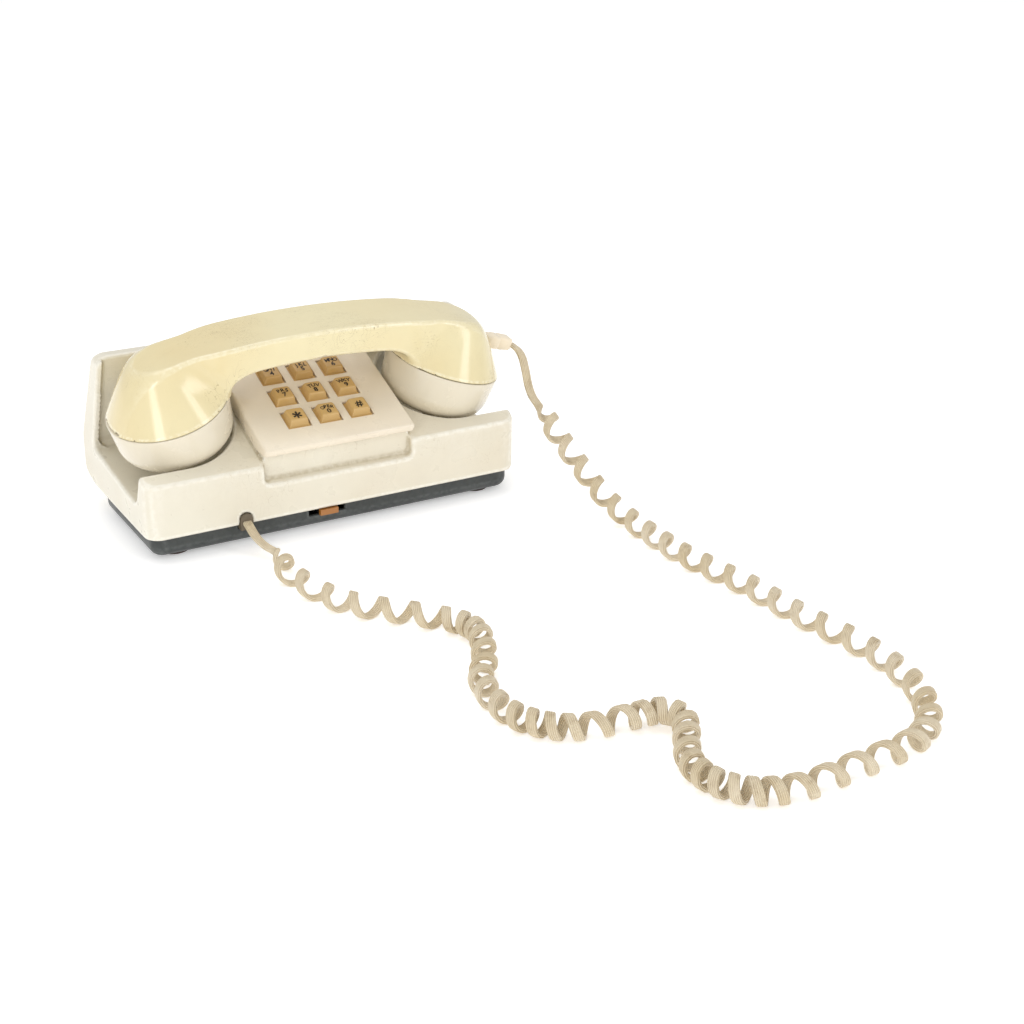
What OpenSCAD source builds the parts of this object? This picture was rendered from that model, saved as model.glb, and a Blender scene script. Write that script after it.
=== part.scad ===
// Corded desk telephone: a push-button body with two open cradles, and a handset with round caps
// X runs along the width, Y from the front to the back, Z up; the table is at z = 0.
// The side view is drawn in (d, z), where d is the distance behind the front wall.
// The key block, the cradles and the handset's lift share one tilt: s runs up its slope, m out of it.

/* [Body] */
// Width of the shell
body_w = 209.6; // [190:0.2:260]
// Depth of the shell, front wall to rear
body_d = 107; // [104:0.5:130]
// Height of the shell's lower edge above the table
base_h = 12.5; // [11:0.5:16]
// Height of the back wall's top
back_h = 90; // [84:0.5:110]
// Slope of the key block, in degrees
tilt = 22; // [20:0.5:24]
// Plastic wall of the shell
wall = 2.4; // [1.8:0.1:3]
// Radius of the upright corners
corner_r = 9; // [6:0.5:14]
// Distance of the cradle top's plane from the front foot line
top_m = 38; // [37:0.5:40]
// Place of the back wall's front face up the slope
back_s = 91; // [90:0.5:94]
// Lean of the rear face, in degrees
rear_lean = 28; // [24:1:30]
// Height at which the rear face meets the lower bend
rear_z = 27; // [24:0.5:32]
// Depth of the flat part of the shell's lower edge
foot_d = 82; // [78:0.5:90]

/* [Cradles] */
// Distance of each cradle's inner end from the middle
well_in = 44.2; // [43.4:0.1:44.6]
// Radius of the cradle's round inner end
well_r = 35; // [33:0.5:36]
// Place of the cradle's front edge up the slope
well_s0 = 26.4; // [25:0.1:26.6]
// Depth of the panel sunk into the back wall, past the rim
panel_sink = 3; // [1:0.5:5]
// Width of the rim left at the end of that panel
rim_w = 3.6; // [2:0.2:6]
// Height of the cradle floor at its front
floor_z = 25; // [24:0.5:28]
// Slope of the cradle floor, in degrees
floor_tilt = 6.7; // [4:0.1:9]

/* [Key block] */
// Width of the raised key block
block_w = 84; // [82:0.5:86]
// Distance of its surface from the front foot line
block_m = 47.2; // [46:0.2:49]
// Place of its front edge up the slope
block_s0 = 17.4; // [17:0.1:18]
// Place of its rear edge up the slope
block_s1 = 102; // [100:0.5:106]
// Thickness of its walls
block_t = 2.2; // [1.6:0.1:2.6]
// Depth of the recess below its front lip
recess_d = 5; // [3:0.5:6]
// Height of the recess's lower edge
recess_z0 = 31; // [29:0.5:34]
// Height of the recess's upper edge
recess_z1 = 46; // [45:0.5:47]

/* [Keys] */
// Distance between key columns and rows
key_pitch = 17.5; // [17:0.1:18]
// Side of the square window round each key
window = 13.1; // [12.6:0.1:14]
// Side of the key at its foot
key_foot = 11; // [10:0.1:11.6]
// Side of the key at its top
key_top = 8.8; // [7:0.1:9.6]
// How far a key stands out of the block
key_proud = 3.4; // [2.4:0.1:4]
// Travel of a key
key_travel = 2.5; // [1.5:0.1:2.8]
// Place of the lowest row up the slope
row_s = 37.2; // [36:0.1:39]

/* [Handset] */
// Distance of each cap's centre from the middle
cap_x = 78.4; // [77.5:0.1:80]
// Radius of the round caps
cap_r = 31.4; // [29:0.1:31.6]
// Depth of the round caps
cap_h = 26; // [22:0.5:27]
// Rounding of a cap's lower edge
cap_round = 13; // [8:0.5:13]
// Tilt of each cap towards the other, in degrees
cap_lean = 15.7; // [12:0.1:18]
// Tilt of the resting handset towards the back, in degrees
rest_tilt = 9.5; // [8:0.5:11]
// Distance of the caps' upper rims behind the front wall
rest_d = 36.9; // [36:0.1:38]
// Height of the caps' upper rims above the table
rest_z = 69.4; // [69:0.1:72]
// Height of the handle's top above the caps' rims
grip_top = 36.4; // [34:0.2:38]
// Height of the handle's underside above the caps' rims
grip_under = 20.6; // [18:0.2:22]
// Width of the handle
grip_w = 32; // [28:0.5:36]
// Wall of the handset
grip_wall = 2.8; // [2:0.1:3.2]

/* [Base] */
// How far the base stands in from the shell's outline
base_inset = 3.2; // [3:0.1:6]
// Thickness of the base's floor
pan_t = 2; // [1.5:0.1:3]
// Height of the rubber feet
foot_h = 2; // [1.5:0.1:3]
// Radius of the rubber feet
foot_r = 8; // [6:0.5:10]
// Gap between parts that fit together
gap = 0.3; // [0.2:0.05:0.5]

/* [Cord] */
// Outer radius of the curly cord's coil
coil_r = 5.9; // [5:0.1:8]
// Radius of the cord's straight ends
tail_r = 2.2; // [2:0.1:3]
// Place of the cord's exit along the front
exit_x = -53.3; // [-60:0.1:-46]

/* [Hidden] */
$fn = 48;
far = 400;
lip_out = block_m * sin(tilt) - block_s0 * cos(tilt);
front_y = -(body_d - lip_out) / 2;
rest_y = front_y + rest_d;
well_x = well_in + well_r;
well_s = well_s0 + well_r;
well_s1 = back_s + panel_sink;
block_skin = block_m - block_t;
seat_half = block_w / 2;
frame_m = block_skin - 4;
frame_t = 2;
head_m = frame_m + key_travel + gap + 0.2;
stem = 7;
stem_m = frame_m - frame_t - key_travel - 3;
comb_t = 0.5;
comb_m = stem_m - key_travel - gap - comb_t;
board_t = 1.6;
board_m = comb_m - board_t;
bank_half = key_pitch + window / 2 + 4;
bank_s0 = row_s - window / 2 - 2.5;
bank_s1 = row_s + 3 * key_pitch + window / 2 + 2.5;
post_x = bank_half - 1.5;
pan_d1 = foot_d - 2;
pan_half = body_w / 2 - base_inset;
pan_h = base_h + 3.5;
foot_x = 86.5;
foot_d0 = 17;
foot_d1 = pan_d1 - 14;
screw_r = 1.5;
boss_r = 4;
bosses = [[-48, 16], [48, 16], [-60, 70], [60, 70]];
lever_x = -7.7;
lever_d = 14;
lever_t = 2.6;
lever_z = base_h - 0.4 - lever_t;
lever_tab = 10;
gong_r = 21;
gong_h = 9.5;
gong_t = 1.4;
gong_z = pan_floor() + 3;
gong_x = [-67, -18];
gong_d = 42;
clap_x = -42.5;
clap_d = 64;
ball_r = 2.2;
plunger_r = 3.4;
plunger_x = cap_x - cap_h * sin(cap_lean);
plunger_d = rest_d + cap_h * cos(cap_lean) * sin(rest_tilt);
plunger_top = rest_z - cap_h * cos(cap_lean) * cos(rest_tilt) - gap
    - plunger_r * (tan(cap_lean) + tan(rest_tilt));
bar_t = 2.6;
bar_z = 18.6;
bar_w = 10;
spring_r = 3.2;
exit_z = base_h + 1.5;
notch_w = 7.2;
gland_y = front_y - 0.6;
gland_w = 6.8;
relief_at = [109.6, 3.6, 4.6];
relief_out = 12.6;
relief_in = 4.4;
relief_w = 8;
relief_lean = 16;
cap_wall = 2.5;
duct_n = 23.5;
duct_h = 4.5;
duct_x = 68;

function pan_floor() = foot_h + pan_t;
function fy(d) = front_y + d;
// A point of the side view from its place on the slope
function on_slope(s, m) = [s * cos(tilt) - m * sin(tilt), s * sin(tilt) + m * cos(tilt)];
// Depth at which the face s meets the height z, and the height at which the plane m meets the depth d
function depth_at(s, z) = (s + -z * sin(tilt)) / cos(tilt);
function height_at(m, d) = (m + d * sin(tilt)) / cos(tilt);
function floor_at(d, g) = floor_z + d * tan(floor_tilt) - g / cos(floor_tilt);
function rear_at(z, i) = body_d - (z - rear_z) * tan(rear_lean) - i / cos(rear_lean);
// The shell's side view, drawn in by i; the bottom is left low enough to open the cavity
function side_view(i) = [
    [i, base_h - i],
    [i, height_at(top_m - i, i)],
    on_slope(back_s + i, top_m - i),
    [depth_at(back_s + i, back_h - i), back_h - i],
    [rear_at(back_h - i, i), back_h - i],
    [body_d - i, rear_z],
    for (a = [18 : 18 : 72])
        [foot_d + (body_d - foot_d - i) * cos(a), rear_z - (rear_z - base_h - i) * sin(a)],
    [foot_d, base_h + (i > 0 ? i : 0)],
    if (i > 0) [foot_d, base_h - i]];

// The cord's route from the front notch to the handset: two straight ends and the curly stretch
tail_a = [[exit_x, gland_y, exit_z], [-53.4, -57, 12.8], [-53, -61, 10.6], [-52, -66, 7.6],
    [-50, -72, 5.4], [-48, -78, 4.4], [-50, -84, 5.2]];
coil_path = [[-51, -85, 5.9], [-53, -99, 5.9], [-52, -113, 5.9], [-48, -134, 5.9], [-38, -153, 5.9],
    [-27, -166, 5.9], [-16, -177, 5.9], [-8, -188, 5.9], [-6, -199, 5.9], [-9, -211, 5.9],
    [-15, -223, 5.9], [-21, -236, 5.9], [-25, -250, 5.9], [-26, -263, 5.9], [-23, -276, 5.9],
    [-15, -287, 5.9], [-4, -293, 5.9], [8, -295, 5.9], [20, -296, 6.1], [30, -299, 6.9],
    [34, -308, 7.1], [29, -318, 6.3], [22, -328, 5.9], [17, -340, 5.9], [18, -353, 5.9],
    [25, -364, 5.9], [37, -370, 5.9], [50, -372, 5.9], [64, -371, 5.9], [80, -370, 5.9],
    [96, -369, 5.9], [110, -366, 5.9], [122, -359, 5.9], [131, -348, 5.9], [138, -335, 5.9],
    [142, -320, 5.9], [144, -304, 5.9], [143, -286, 5.9], [140, -268, 5.9], [138, -252, 5.9],
    [137, -234, 5.9], [136, -218, 5.9], [133, -202, 5.9], [131, -188, 5.9], [129, -172, 5.9],
    [129, -154, 5.9], [129, -137, 6.1], [128, -120, 8.4], [126, -104, 13.6], [124, -88, 22],
    [122, -73, 31], [121, -60, 37.1], [121, -50, 43.6]];
tail_b = [[121, -51, 43], [121.4, -45, 45.4], [121.6, -39, 48], [122.6, -33, 52.6], [124.4, -27, 58.4],
    [125.8, -21, 64], [125.4, -17, 67.4], [123.9, -14.8, 69.5]];

module at_front() { translate([0, front_y, 0]) children(); }
module tilted() { at_front() rotate([tilt, 0, 0]) children(); }
module side_slab(w) { at_front() rotate([90, 0, 90]) linear_extrude(w, center = true) children(); }
module block(lo, hi) { translate(lo) cube(hi - lo); }
module mirrored() {
    children();
    mirror([1, 0, 0]) children();
}
// A plate with round corners, between x = -half and half and between y = y0 and y1
module round_plate(half, y0, y1, r, h) {
    block([-half + r, y0, 0], [half - r, y1, h]);
    block([-half, y0 + r, 0], [half, y1 - r, h]);
    for (x = [-half + r, half - r], y = [y0 + r, y1 - r]) translate([x, y, 0]) cylinder(h = h, r = r);
}
module key_places() {
    for (c = [-1 : 1], r = [0 : 3]) translate([c * key_pitch, row_s + r * key_pitch, 0]) children();
}
module square_bar(w, m0, m1) { translate([-w / 2, -w / 2, m0]) cube([w, w, m1 - m0]); }

// ---- Shell ----
module outer_form(i) {
    intersection() {
        side_slab(body_w - 2 * i) polygon(side_view(i));
        at_front() round_plate(body_w / 2 - i, i, body_d - i, corner_r - i, far);
    }
}
// The open cradle grown by g: a round inner end, straight walls to the outside, and the sloping floor
module well(g) {
    intersection() {
        tilted() mirrored() intersection() {
            union() {
                translate([well_x, well_s, -far / 4]) cylinder(h = far, r = well_r + g, $fn = 72);
                block([well_x, well_s0 - g, -far / 4], [far, far, far]);
            }
            union() {
                block([0, 0, -far / 4], [body_w / 2 - rim_w + g, well_s1 + g, far]);
                block([0, 0, -far / 4], [far, back_s + g, far]);
            }
        }
        side_slab(2 * far)
            polygon([[-far, floor_at(-far, g)], [far, floor_at(far, g)], [far, far], [-far, far]]);
    }
}
// The recess below the key block's front lip
module front_recess(g) {
    at_front()
        block([-seat_half + 1 - g, -1, recess_z0 - g], [seat_half - 1 + g, recess_d + g, far]);
}
module sill() {
    side_slab(block_w - 2)
        polygon([[recess_d, recess_z1 - 12], [recess_d, recess_z1], [recess_d + 3.2, recess_z1],
            on_slope(28, top_m), on_slope(27.5, top_m - 9)]);
}
module cavity() {
    difference() {
        outer_form(wall);
        well(wall);
        front_recess(wall);
        tilted() block([-seat_half - gap - wall, -far, top_m - wall], [seat_half + gap + wall, far, far]);
    }
}
module at_bosses() {
    for (b = bosses) translate([b[0], fy(b[1]), 0]) children();
}
module at_plungers() {
    for (x = [-plunger_x, plunger_x]) translate([x, fy(plunger_d), 0]) children();
}
module shell() {
    color([0.93, 0.91, 0.84])
    difference() {
        union() {
            difference() {
                union() {
                    difference() {
                        outer_form(0);
                        tilted() block([-seat_half - gap, 0, top_m], [seat_half + gap, far, far]);
                        front_recess(0);
                    }
                    sill();
                }
                well(0);
                cavity();
                tilted() block([-bank_half - 6, bank_s0 + 2, 0], [bank_half + 6, bank_s1 - 2, far]);
            }
            difference() {
                intersection() {
                    at_bosses() translate([0, 0, pan_floor() + 4]) cylinder(h = far, r = boss_r);
                    outer_form(wall / 2);
                }
                well(wall / 2);
            }
        }
        at_bosses() cylinder(h = 22, r = screw_r);
        at_plungers() translate([0, 0, bar_z]) cylinder(h = far, r = plunger_r + gap);
        translate([exit_x - notch_w / 2, fy(-1), 0]) cube([notch_w, wall + 2, exit_z + 1.6]);
        translate([exit_x, fy(-1), exit_z + 1.6]) rotate([-90, 0, 0]) cylinder(h = wall + 2, d = notch_w);
    }
}

// ---- Key block and keys ----
module faceplate() {
    color([0.91, 0.89, 0.82])
    difference() {
        side_slab(block_w)
            polygon([on_slope(block_s0, block_m), [0.6, recess_z1], [recess_d + 3.2, recess_z1],
                on_slope(28, top_m), on_slope(block_s1, top_m), on_slope(block_s1, block_m)]);
        tilted()
            block([-seat_half + block_t, bank_s0 - 0.1, 0],
                [seat_half - block_t, block_s1 - block_t, block_skin]);
        tilted() key_places() square_bar(window, 0, far);
    }
}
module keypad_frame() {
    color([0.42, 0.36, 0.26])
    tilted() {
        difference() {
            block([-bank_half, bank_s0 + 0.4, frame_m - frame_t], [bank_half, bank_s1 - 0.4, frame_m]);
            key_places() square_bar(stem + 2 * gap, 0, far);
        }
        for (x = [-post_x, post_x], s = [bank_s0 + 3, bank_s1 - 3])
            translate([x, s, frame_m]) cylinder(h = block_skin - frame_m, r = 1.4);
    }
}
module keypad_contacts() {
    color([0.75, 0.6, 0.35])
    tilted() {
        key_places() square_bar(stem + 1, comb_m, comb_m + comb_t);
        for (c = [-1 : 1])
            block([c * key_pitch - 1.5, row_s, comb_m],
                [c * key_pitch + 1.5, row_s + 3 * key_pitch, comb_m + comb_t]);
        block([-key_pitch, row_s - 1.5, comb_m], [key_pitch, row_s + 1.5, comb_m + comb_t]);
    }
}
module keypad_board() {
    color([0.3, 0.4, 0.22])
    tilted() {
        block([-bank_half, bank_s0 + 0.4, board_m], [bank_half, bank_s1 - 0.4, comb_m]);
        for (x = [-post_x, post_x], s = [bank_s0 + 3, bank_s1 - 3])
            translate([x, s, comb_m]) cylinder(h = frame_m - frame_t - comb_m, r = 1.4);
    }
}
// One key: tapered head, a flange below the block's skin, and a stem through the frame
module key_at(c, r) {
    color([0.66, 0.55, 0.36])
    tilted() translate([c * key_pitch, row_s + r * key_pitch, 0]) {
        hull() {
            square_bar(key_foot, head_m, head_m + 0.7);
            square_bar(key_top, block_m + key_proud - 0.1, block_m + key_proud);
        }
        square_bar(window + 1.6, head_m, head_m + 0.6);
        square_bar(stem, stem_m, head_m + 0.2);
    }
}
module key_1() { key_at(-1, 3); }
module key_2() { key_at(0, 3); }
module key_3() { key_at(1, 3); }
module key_4() { key_at(-1, 2); }
module key_5() { key_at(0, 2); }
module key_6() { key_at(1, 2); }
module key_7() { key_at(-1, 1); }
module key_8() { key_at(0, 1); }
module key_9() { key_at(1, 1); }
module key_star() { key_at(-1, 0); }
module key_0() { key_at(0, 0); }
module key_hash() { key_at(1, 0); }

// ---- Base ----
module base_pan() {
    color([0.2, 0.21, 0.2])
    difference() {
        union() {
            difference() {
                translate([0, front_y, foot_h])
                    round_plate(pan_half, base_inset, pan_d1, corner_r - base_inset + 1, pan_h - foot_h);
                translate([0, front_y, pan_floor()])
                    round_plate(pan_half - pan_t, base_inset + pan_t, pan_d1 - pan_t,
                        corner_r - base_inset, far);
            }
            at_bosses() translate([0, 0, foot_h]) cylinder(h = pan_floor() + 4 - foot_h, r = boss_r);
        }
        at_bosses() cylinder(h = far, r = screw_r + 0.2);
        at_bosses() cylinder(h = foot_h + 3, r = 3.4);
        translate([exit_x - gland_w / 2, fy(0), exit_z - 3.8]) cube([gland_w, 8, far]);
        translate([lever_x - lever_tab, fy(0), lever_z - 0.8]) cube([2 * lever_tab, 8, lever_t + 1.2]);
        translate([68, fy(pan_d1 - 4), pan_floor()]) cube([14, 8, 9.2]);
    }
}
module rubber_feet() {
    color([0.2, 0.13, 0.1])
    for (x = [-foot_x, foot_x], d = [foot_d0, foot_d1])
        translate([x, fy(d), 0]) cylinder(h = foot_h, r = foot_r);
}
module shell_screws() {
    color([0.7, 0.7, 0.7])
    at_bosses() {
        translate([0, 0, foot_h + 1]) cylinder(h = 2, r = 3.2);
        translate([0, 0, foot_h + 1]) cylinder(h = 16, r = screw_r - 0.05);
    }
}
module line_inlet() {
    color([0.15, 0.15, 0.15])
    difference() {
        translate([68, fy(pan_d1 - 14), pan_floor()]) cube([14, 14, 9]);
        translate([71, fy(pan_d1 - 11), pan_floor() + 2]) cube([8, 12, 5.5]);
    }
}
module cord_gland() {
    color([0.35, 0.3, 0.24])
    translate([exit_x, gland_y, 0]) {
        translate([-gland_w / 2 + 0.1, 0, exit_z - 3.8]) cube([gland_w - 0.2, 8, 5.2]);
        translate([0, 0, exit_z + 1.4]) rotate([-90, 0, 0]) cylinder(h = 8, d = gland_w - 0.2);
    }
}

// ---- Volume lever and ringer ----
module lever_pin() {
    color([0.7, 0.7, 0.7])
    translate([lever_x, fy(lever_d), pan_floor()]) {
        cylinder(h = lever_z + lever_t + 1.6 - pan_floor(), r = 2);
        cylinder(h = lever_z - 0.2 - pan_floor(), r = 3.2);
        translate([0, 0, lever_z + lever_t + 0.2 - pan_floor()]) cylinder(h = 1.4, r = 3.2);
    }
}
module volume_lever() {
    color([0.62, 0.38, 0.12])
    translate([lever_x, fy(lever_d), lever_z])
    difference() {
        union() {
            cylinder(h = lever_t, r = 5);
            block([-2.5, 2 - lever_d, 0], [2.5, 0, lever_t]);
            block([-lever_tab / 2, -lever_d, -0.4], [lever_tab / 2, 2.4 - lever_d, lever_t]);
        }
        translate([0, 0, -1]) cylinder(h = far, r = 2.05);
    }
}
module ringer_frame() {
    color([0.6, 0.6, 0.58])
    at_front() {
        block([gong_x[0] - 4, gong_d - 5, pan_floor()], [gong_x[1] + 4, gong_d + 5, pan_floor() + 1.5]);
        block([clap_x - 5, gong_d, pan_floor()], [clap_x + 5, clap_d + 12, pan_floor() + 1.5]);
        for (x = gong_x) translate([x, gong_d, pan_floor()]) {
            cylinder(h = gong_z + gong_h - gong_t - pan_floor(), r = 3);
            cylinder(h = gong_z + gong_h + 0.8 - pan_floor(), r = 1.5);
        }
        translate([clap_x, clap_d, pan_floor()]) cylinder(h = 10, r = 1.5);
        translate([clap_x, clap_d, pan_floor()]) cylinder(h = 3.6, r = 3);
    }
}
module gong(x, r) {
    translate([x, fy(gong_d), gong_z])
    difference() {
        cylinder(h = gong_h, r = r);
        translate([0, 0, -1]) cylinder(h = gong_h - gong_t + 1, r = r - gong_t);
        cylinder(h = far, r = 1.5);
    }
}
module gong_low() { color([0.72, 0.6, 0.35]) gong(gong_x[0], gong_r); }
module gong_high() { color([0.72, 0.6, 0.35]) gong(gong_x[1], gong_r); }
module ringer_coil() {
    color([0.5, 0.25, 0.12])
    translate([clap_x, fy(clap_d + 8.5), pan_floor() + 1.5]) {
        translate([-9, 0, 4]) rotate([0, 90, 0]) cylinder(h = 18, r = 4);
        for (x = [-11, 9]) block([x, -4, 0], [x + 2, 4, 9]);
    }
}
module clapper() {
    color([0.55, 0.55, 0.55])
    translate([clap_x, fy(clap_d), gong_z + 1])
    difference() {
        union() {
            cylinder(h = 3, r = 3.4);
            block([-1, gong_d - clap_d, 0], [1, 0, 3]);
            translate([0, gong_d - clap_d, 0]) cylinder(h = 4, r = ball_r);
        }
        translate([0, 0, -1]) cylinder(h = far, r = 1.55);
    }
}

// ---- Hook switch and circuits ----
module hook_bar() {
    color([0.75, 0.74, 0.7])
    at_front()
        block([-plunger_x - 5, plunger_d - bar_w / 2, bar_z],
            [plunger_x + 5, plunger_d + bar_w / 2, bar_z + bar_t]);
}
module hook_plungers() {
    color([0.85, 0.83, 0.76])
    at_plungers() translate([0, 0, bar_z + bar_t])
        cylinder(h = plunger_top - bar_z - bar_t, r = plunger_r);
}
module hook_spring() {
    turns = 5;
    steps = 10;
    z0 = pan_floor() + 0.6;
    rise = (bar_z - z0 - 0.6) / (turns * steps);
    color([0.7, 0.7, 0.72])
    translate([52, fy(plunger_d), 0])
        sweep([for (k = [0 : turns * steps])
            [spring_r * cos(k * 360 / steps), spring_r * sin(k * 360 / steps), z0 + k * rise]], 0.6, 6);
}
module hook_switch() {
    color([0.24, 0.24, 0.27])
    at_front() {
        block([24, plunger_d - 7, pan_floor()], [38, plunger_d + 7, bar_z - 2]);
        block([29, plunger_d - 2, bar_z - 2], [33, plunger_d + 2, bar_z - gap]);
    }
}
module speech_network() {
    color([0.16, 0.2, 0.3])
    at_front() {
        block([12, 52, pan_floor()], [44, 74, pan_floor() + 12]);
        block([14, 54, pan_floor() + 12], [28, 72, pan_floor() + 15]);
    }
}
module terminal_strip() {
    color([0.32, 0.2, 0.14])
    at_front() block([8, 12, pan_floor()], [38, 24, pan_floor() + 5]);
}
module terminal_screws() {
    color([0.78, 0.66, 0.38])
    for (i = [0 : 4]) translate([12 + 5.5 * i, fy(18), pan_floor() + 5]) {
        cylinder(h = 1.2, r = 2);
        cylinder(h = 2, r = 1.2);
    }
}

// ---- Handset ----
module resting() { translate([0, rest_y, rest_z]) rotate([rest_tilt, 0, 0]) children(); }
module at_cap(side) { resting() translate([side * cap_x, 0, 0]) rotate([0, side * cap_lean, 0]) children(); }
// The handle's outline from the front: x along it, n out of the caps' plane
module front_outline() {
    edge = [[96, 21.5], [90, 24.5], [77, 28.5], [64, 31.5], [47, 34], [21, grip_top - 0.8]];
    under = [[20, grip_under], [30, grip_under - 1], [38, grip_under - 2.6], [44, grip_under - 5.6],
        [48, grip_under - 10.6]];
    half = concat([[cap_x + 30.4, -8.6], [110, -2], [107, 6], [103, 13]], edge);
    polygon(concat(half, [for (k = [len(half) - 1 : -1 : 0]) [-half[k][0], half[k][1]]],
        [[-cap_x + 30.4, -8.6]], [for (k = [len(under) - 1 : -1 : 0]) [-under[k][0], under[k][1]]],
        under, [[cap_x - 30.4, -8.6]]));
}
// The handle from above, narrowing over the housings
module grip_plan() {
    w = grip_w / 2;
    half = [[50, w], [62, w - 0.9], [72, w - 2.4], [80, w - 4.2], [88, w - 7]];
    polygon(concat([for (p = half) p], [for (k = [len(half) - 1 : -1 : 0]) [half[k][0], -half[k][1]]],
        [for (p = half) [-p[0], -p[1]]], [for (k = [len(half) - 1 : -1 : 0]) [-half[k][0], half[k][1]]]));
}
module relief_form() {
    resting() translate(relief_at) rotate([0, relief_lean, 0])
        block([-relief_in, -relief_w / 2, -relief_w / 2], [relief_out, relief_w / 2, relief_w / 2]);
}
module handset_shell() {
    color([0.9, 0.84, 0.66])
    difference() {
        resting() intersection() {
            rotate([90, 0, 0]) linear_extrude(2 * cap_r + 2, center = true) front_outline();
            union() {
                linear_extrude(far) grip_plan();
                for (side = [-1, 1]) translate([side * cap_x, 0, 0]) rotate([0, side * cap_lean, 0])
                    translate([0, 0, -1]) cylinder(h = 42, r1 = cap_r + 0.6, r2 = cap_r - 24.6);
            }
        }
        for (side = [-1, 1]) at_cap(side) {
            block([-40, -40, -40], [40, 40, 0]);
            translate([0, 0, -1]) cylinder(h = 12, r1 = cap_r - 3.8, r2 = cap_r - 11);
        }
        resting() block([-duct_x, -8, duct_n], [duct_x, 8, duct_n + duct_h]);
        resting() mirrored() block([duct_x - 6, -5, 9], [duct_x, 5, duct_n + 1]);
        relief_form();
    }
}
module cap(side) {
    at_cap(side)
    difference() {
        rotate_extrude() difference() {
            cap_section(cap_r, cap_h, cap_round);
            cap_section(cap_r - cap_wall, cap_h - cap_wall, cap_round - cap_wall + 1);
        }
        for (k = [0 : 2]) for (a = [0 : max(1, 6 * k) - 1])
            rotate(a * 60 / max(k, 1)) translate([6.5 * k, 0, -cap_h - 1])
                cylinder(h = cap_wall + 2, r = 1.2, $fn = 16);
    }
}
// Half of a cup's section, with a round lower edge
module cap_section(r, h, round) {
    translate([0, -h]) square([r - round, h]);
    translate([0, -h + round]) square([r, h - round]);
    intersection() {
        translate([r - round, -h + round]) circle(r = round);
        translate([0, -h]) square([r, h]);
    }
}
module receiver_cap() { color([0.92, 0.9, 0.82]) cap(-1); }
module transmitter_cap() { color([0.92, 0.9, 0.82]) cap(1); }
module capsule(side) {
    at_cap(side) {
        translate([0, 0, -cap_h + cap_wall]) cylinder(h = 10, r = 17);
        translate([0, 0, -cap_h + cap_wall + 10]) cylinder(h = 8, r = 25.5);
    }
}
module receiver_capsule() { color([0.55, 0.56, 0.58]) capsule(-1); }
module transmitter_capsule() { color([0.5, 0.5, 0.47]) capsule(1); }
module transmitter_cup() {
    color([0.14, 0.14, 0.15])
    at_cap(1) translate([0, 0, -cap_h + cap_wall + 18])
    difference() {
        cylinder(h = 5, r = cap_r - 4.3);
        translate([0, 0, 1.5]) cylinder(h = 5, r = cap_r - 5.8);
    }
}
module handset_lead() {
    color([0.6, 0.2, 0.15])
    resting() translate([0, 0, duct_n + 1.5]) rotate([0, 90, 0]) cylinder(h = 116, r = 1.5, center = true);
}
module handset_relief() { color([0.82, 0.72, 0.6]) relief_form(); }

// ---- Cord ----
function unit(v) = v / norm(v);
function heading(p, i) = unit(p[min(i + 1, len(p) - 1)] - p[max(i - 1, 0)]);
function across(t) = unit(cross(t, [0, 0, 1]));
// A tube along the points p, with flat ends
module sweep(p, r, sides) {
    n = len(p);
    points = [for (i = [0 : n - 1], k = [0 : sides - 1])
        let (t = heading(p, i), a = across(t), u = cross(a, t), w = (k + 0.5) * 360 / sides)
        p[i] + r * (cos(w) * a + sin(w) * u)];
    skin = [for (i = [0 : n - 2], k = [0 : sides - 1])
        let (j = (k + 1) % sides) each [
            [i * sides + k, i * sides + j, (i + 1) * sides + j],
            [i * sides + k, (i + 1) * sides + j, (i + 1) * sides + k]]];
    polyhedron(points, concat(skin, [[for (k = [sides - 1 : -1 : 0]) k]],
        [[for (k = [0 : sides - 1]) (n - 1) * sides + k]]), convexity = 10);
}
module base_cord_tail() { color([0.72, 0.62, 0.46]) sweep(tail_a, tail_r, 10); }
module curly_cord() { color([0.76, 0.68, 0.52]) sweep(coil_path, coil_r, 10); }
module handset_cord_tail() { color([0.8, 0.7, 0.52]) sweep(tail_b, tail_r, 10); }

shell();
faceplate();
base_pan();
rubber_feet();
shell_screws();
keypad_frame();
keypad_contacts();
keypad_board();
key_1();
key_2();
key_3();
key_4();
key_5();
key_6();
key_7();
key_8();
key_9();
key_star();
key_0();
key_hash();
hook_bar();
hook_plungers();
hook_spring();
hook_switch();
speech_network();
terminal_strip();
terminal_screws();
ringer_frame();
ringer_coil();
gong_low();
gong_high();
clapper();
volume_lever();
lever_pin();
cord_gland();
line_inlet();
handset_shell();
receiver_cap();
transmitter_cap();
receiver_capsule();
transmitter_capsule();
transmitter_cup();
handset_lead();
handset_relief();
base_cord_tail();
curly_cord();
handset_cord_tail();
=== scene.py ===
"""Looks of the corded desk telephone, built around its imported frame.

Lengths inside the classes are in millimetres and become metres when a mesh is made. The side view is
(d, z): d is the distance behind the front wall. The key block and the cradles share one tilt, with s up
the slope and m out of it. The handset has its own frame: x along it, v across it and n out of the rims.
"""

import logging
import math
from dataclasses import dataclass
from enum import Enum
from typing import Callable

import bmesh
import bpy
import numpy as np
from mathutils import Matrix


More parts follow.
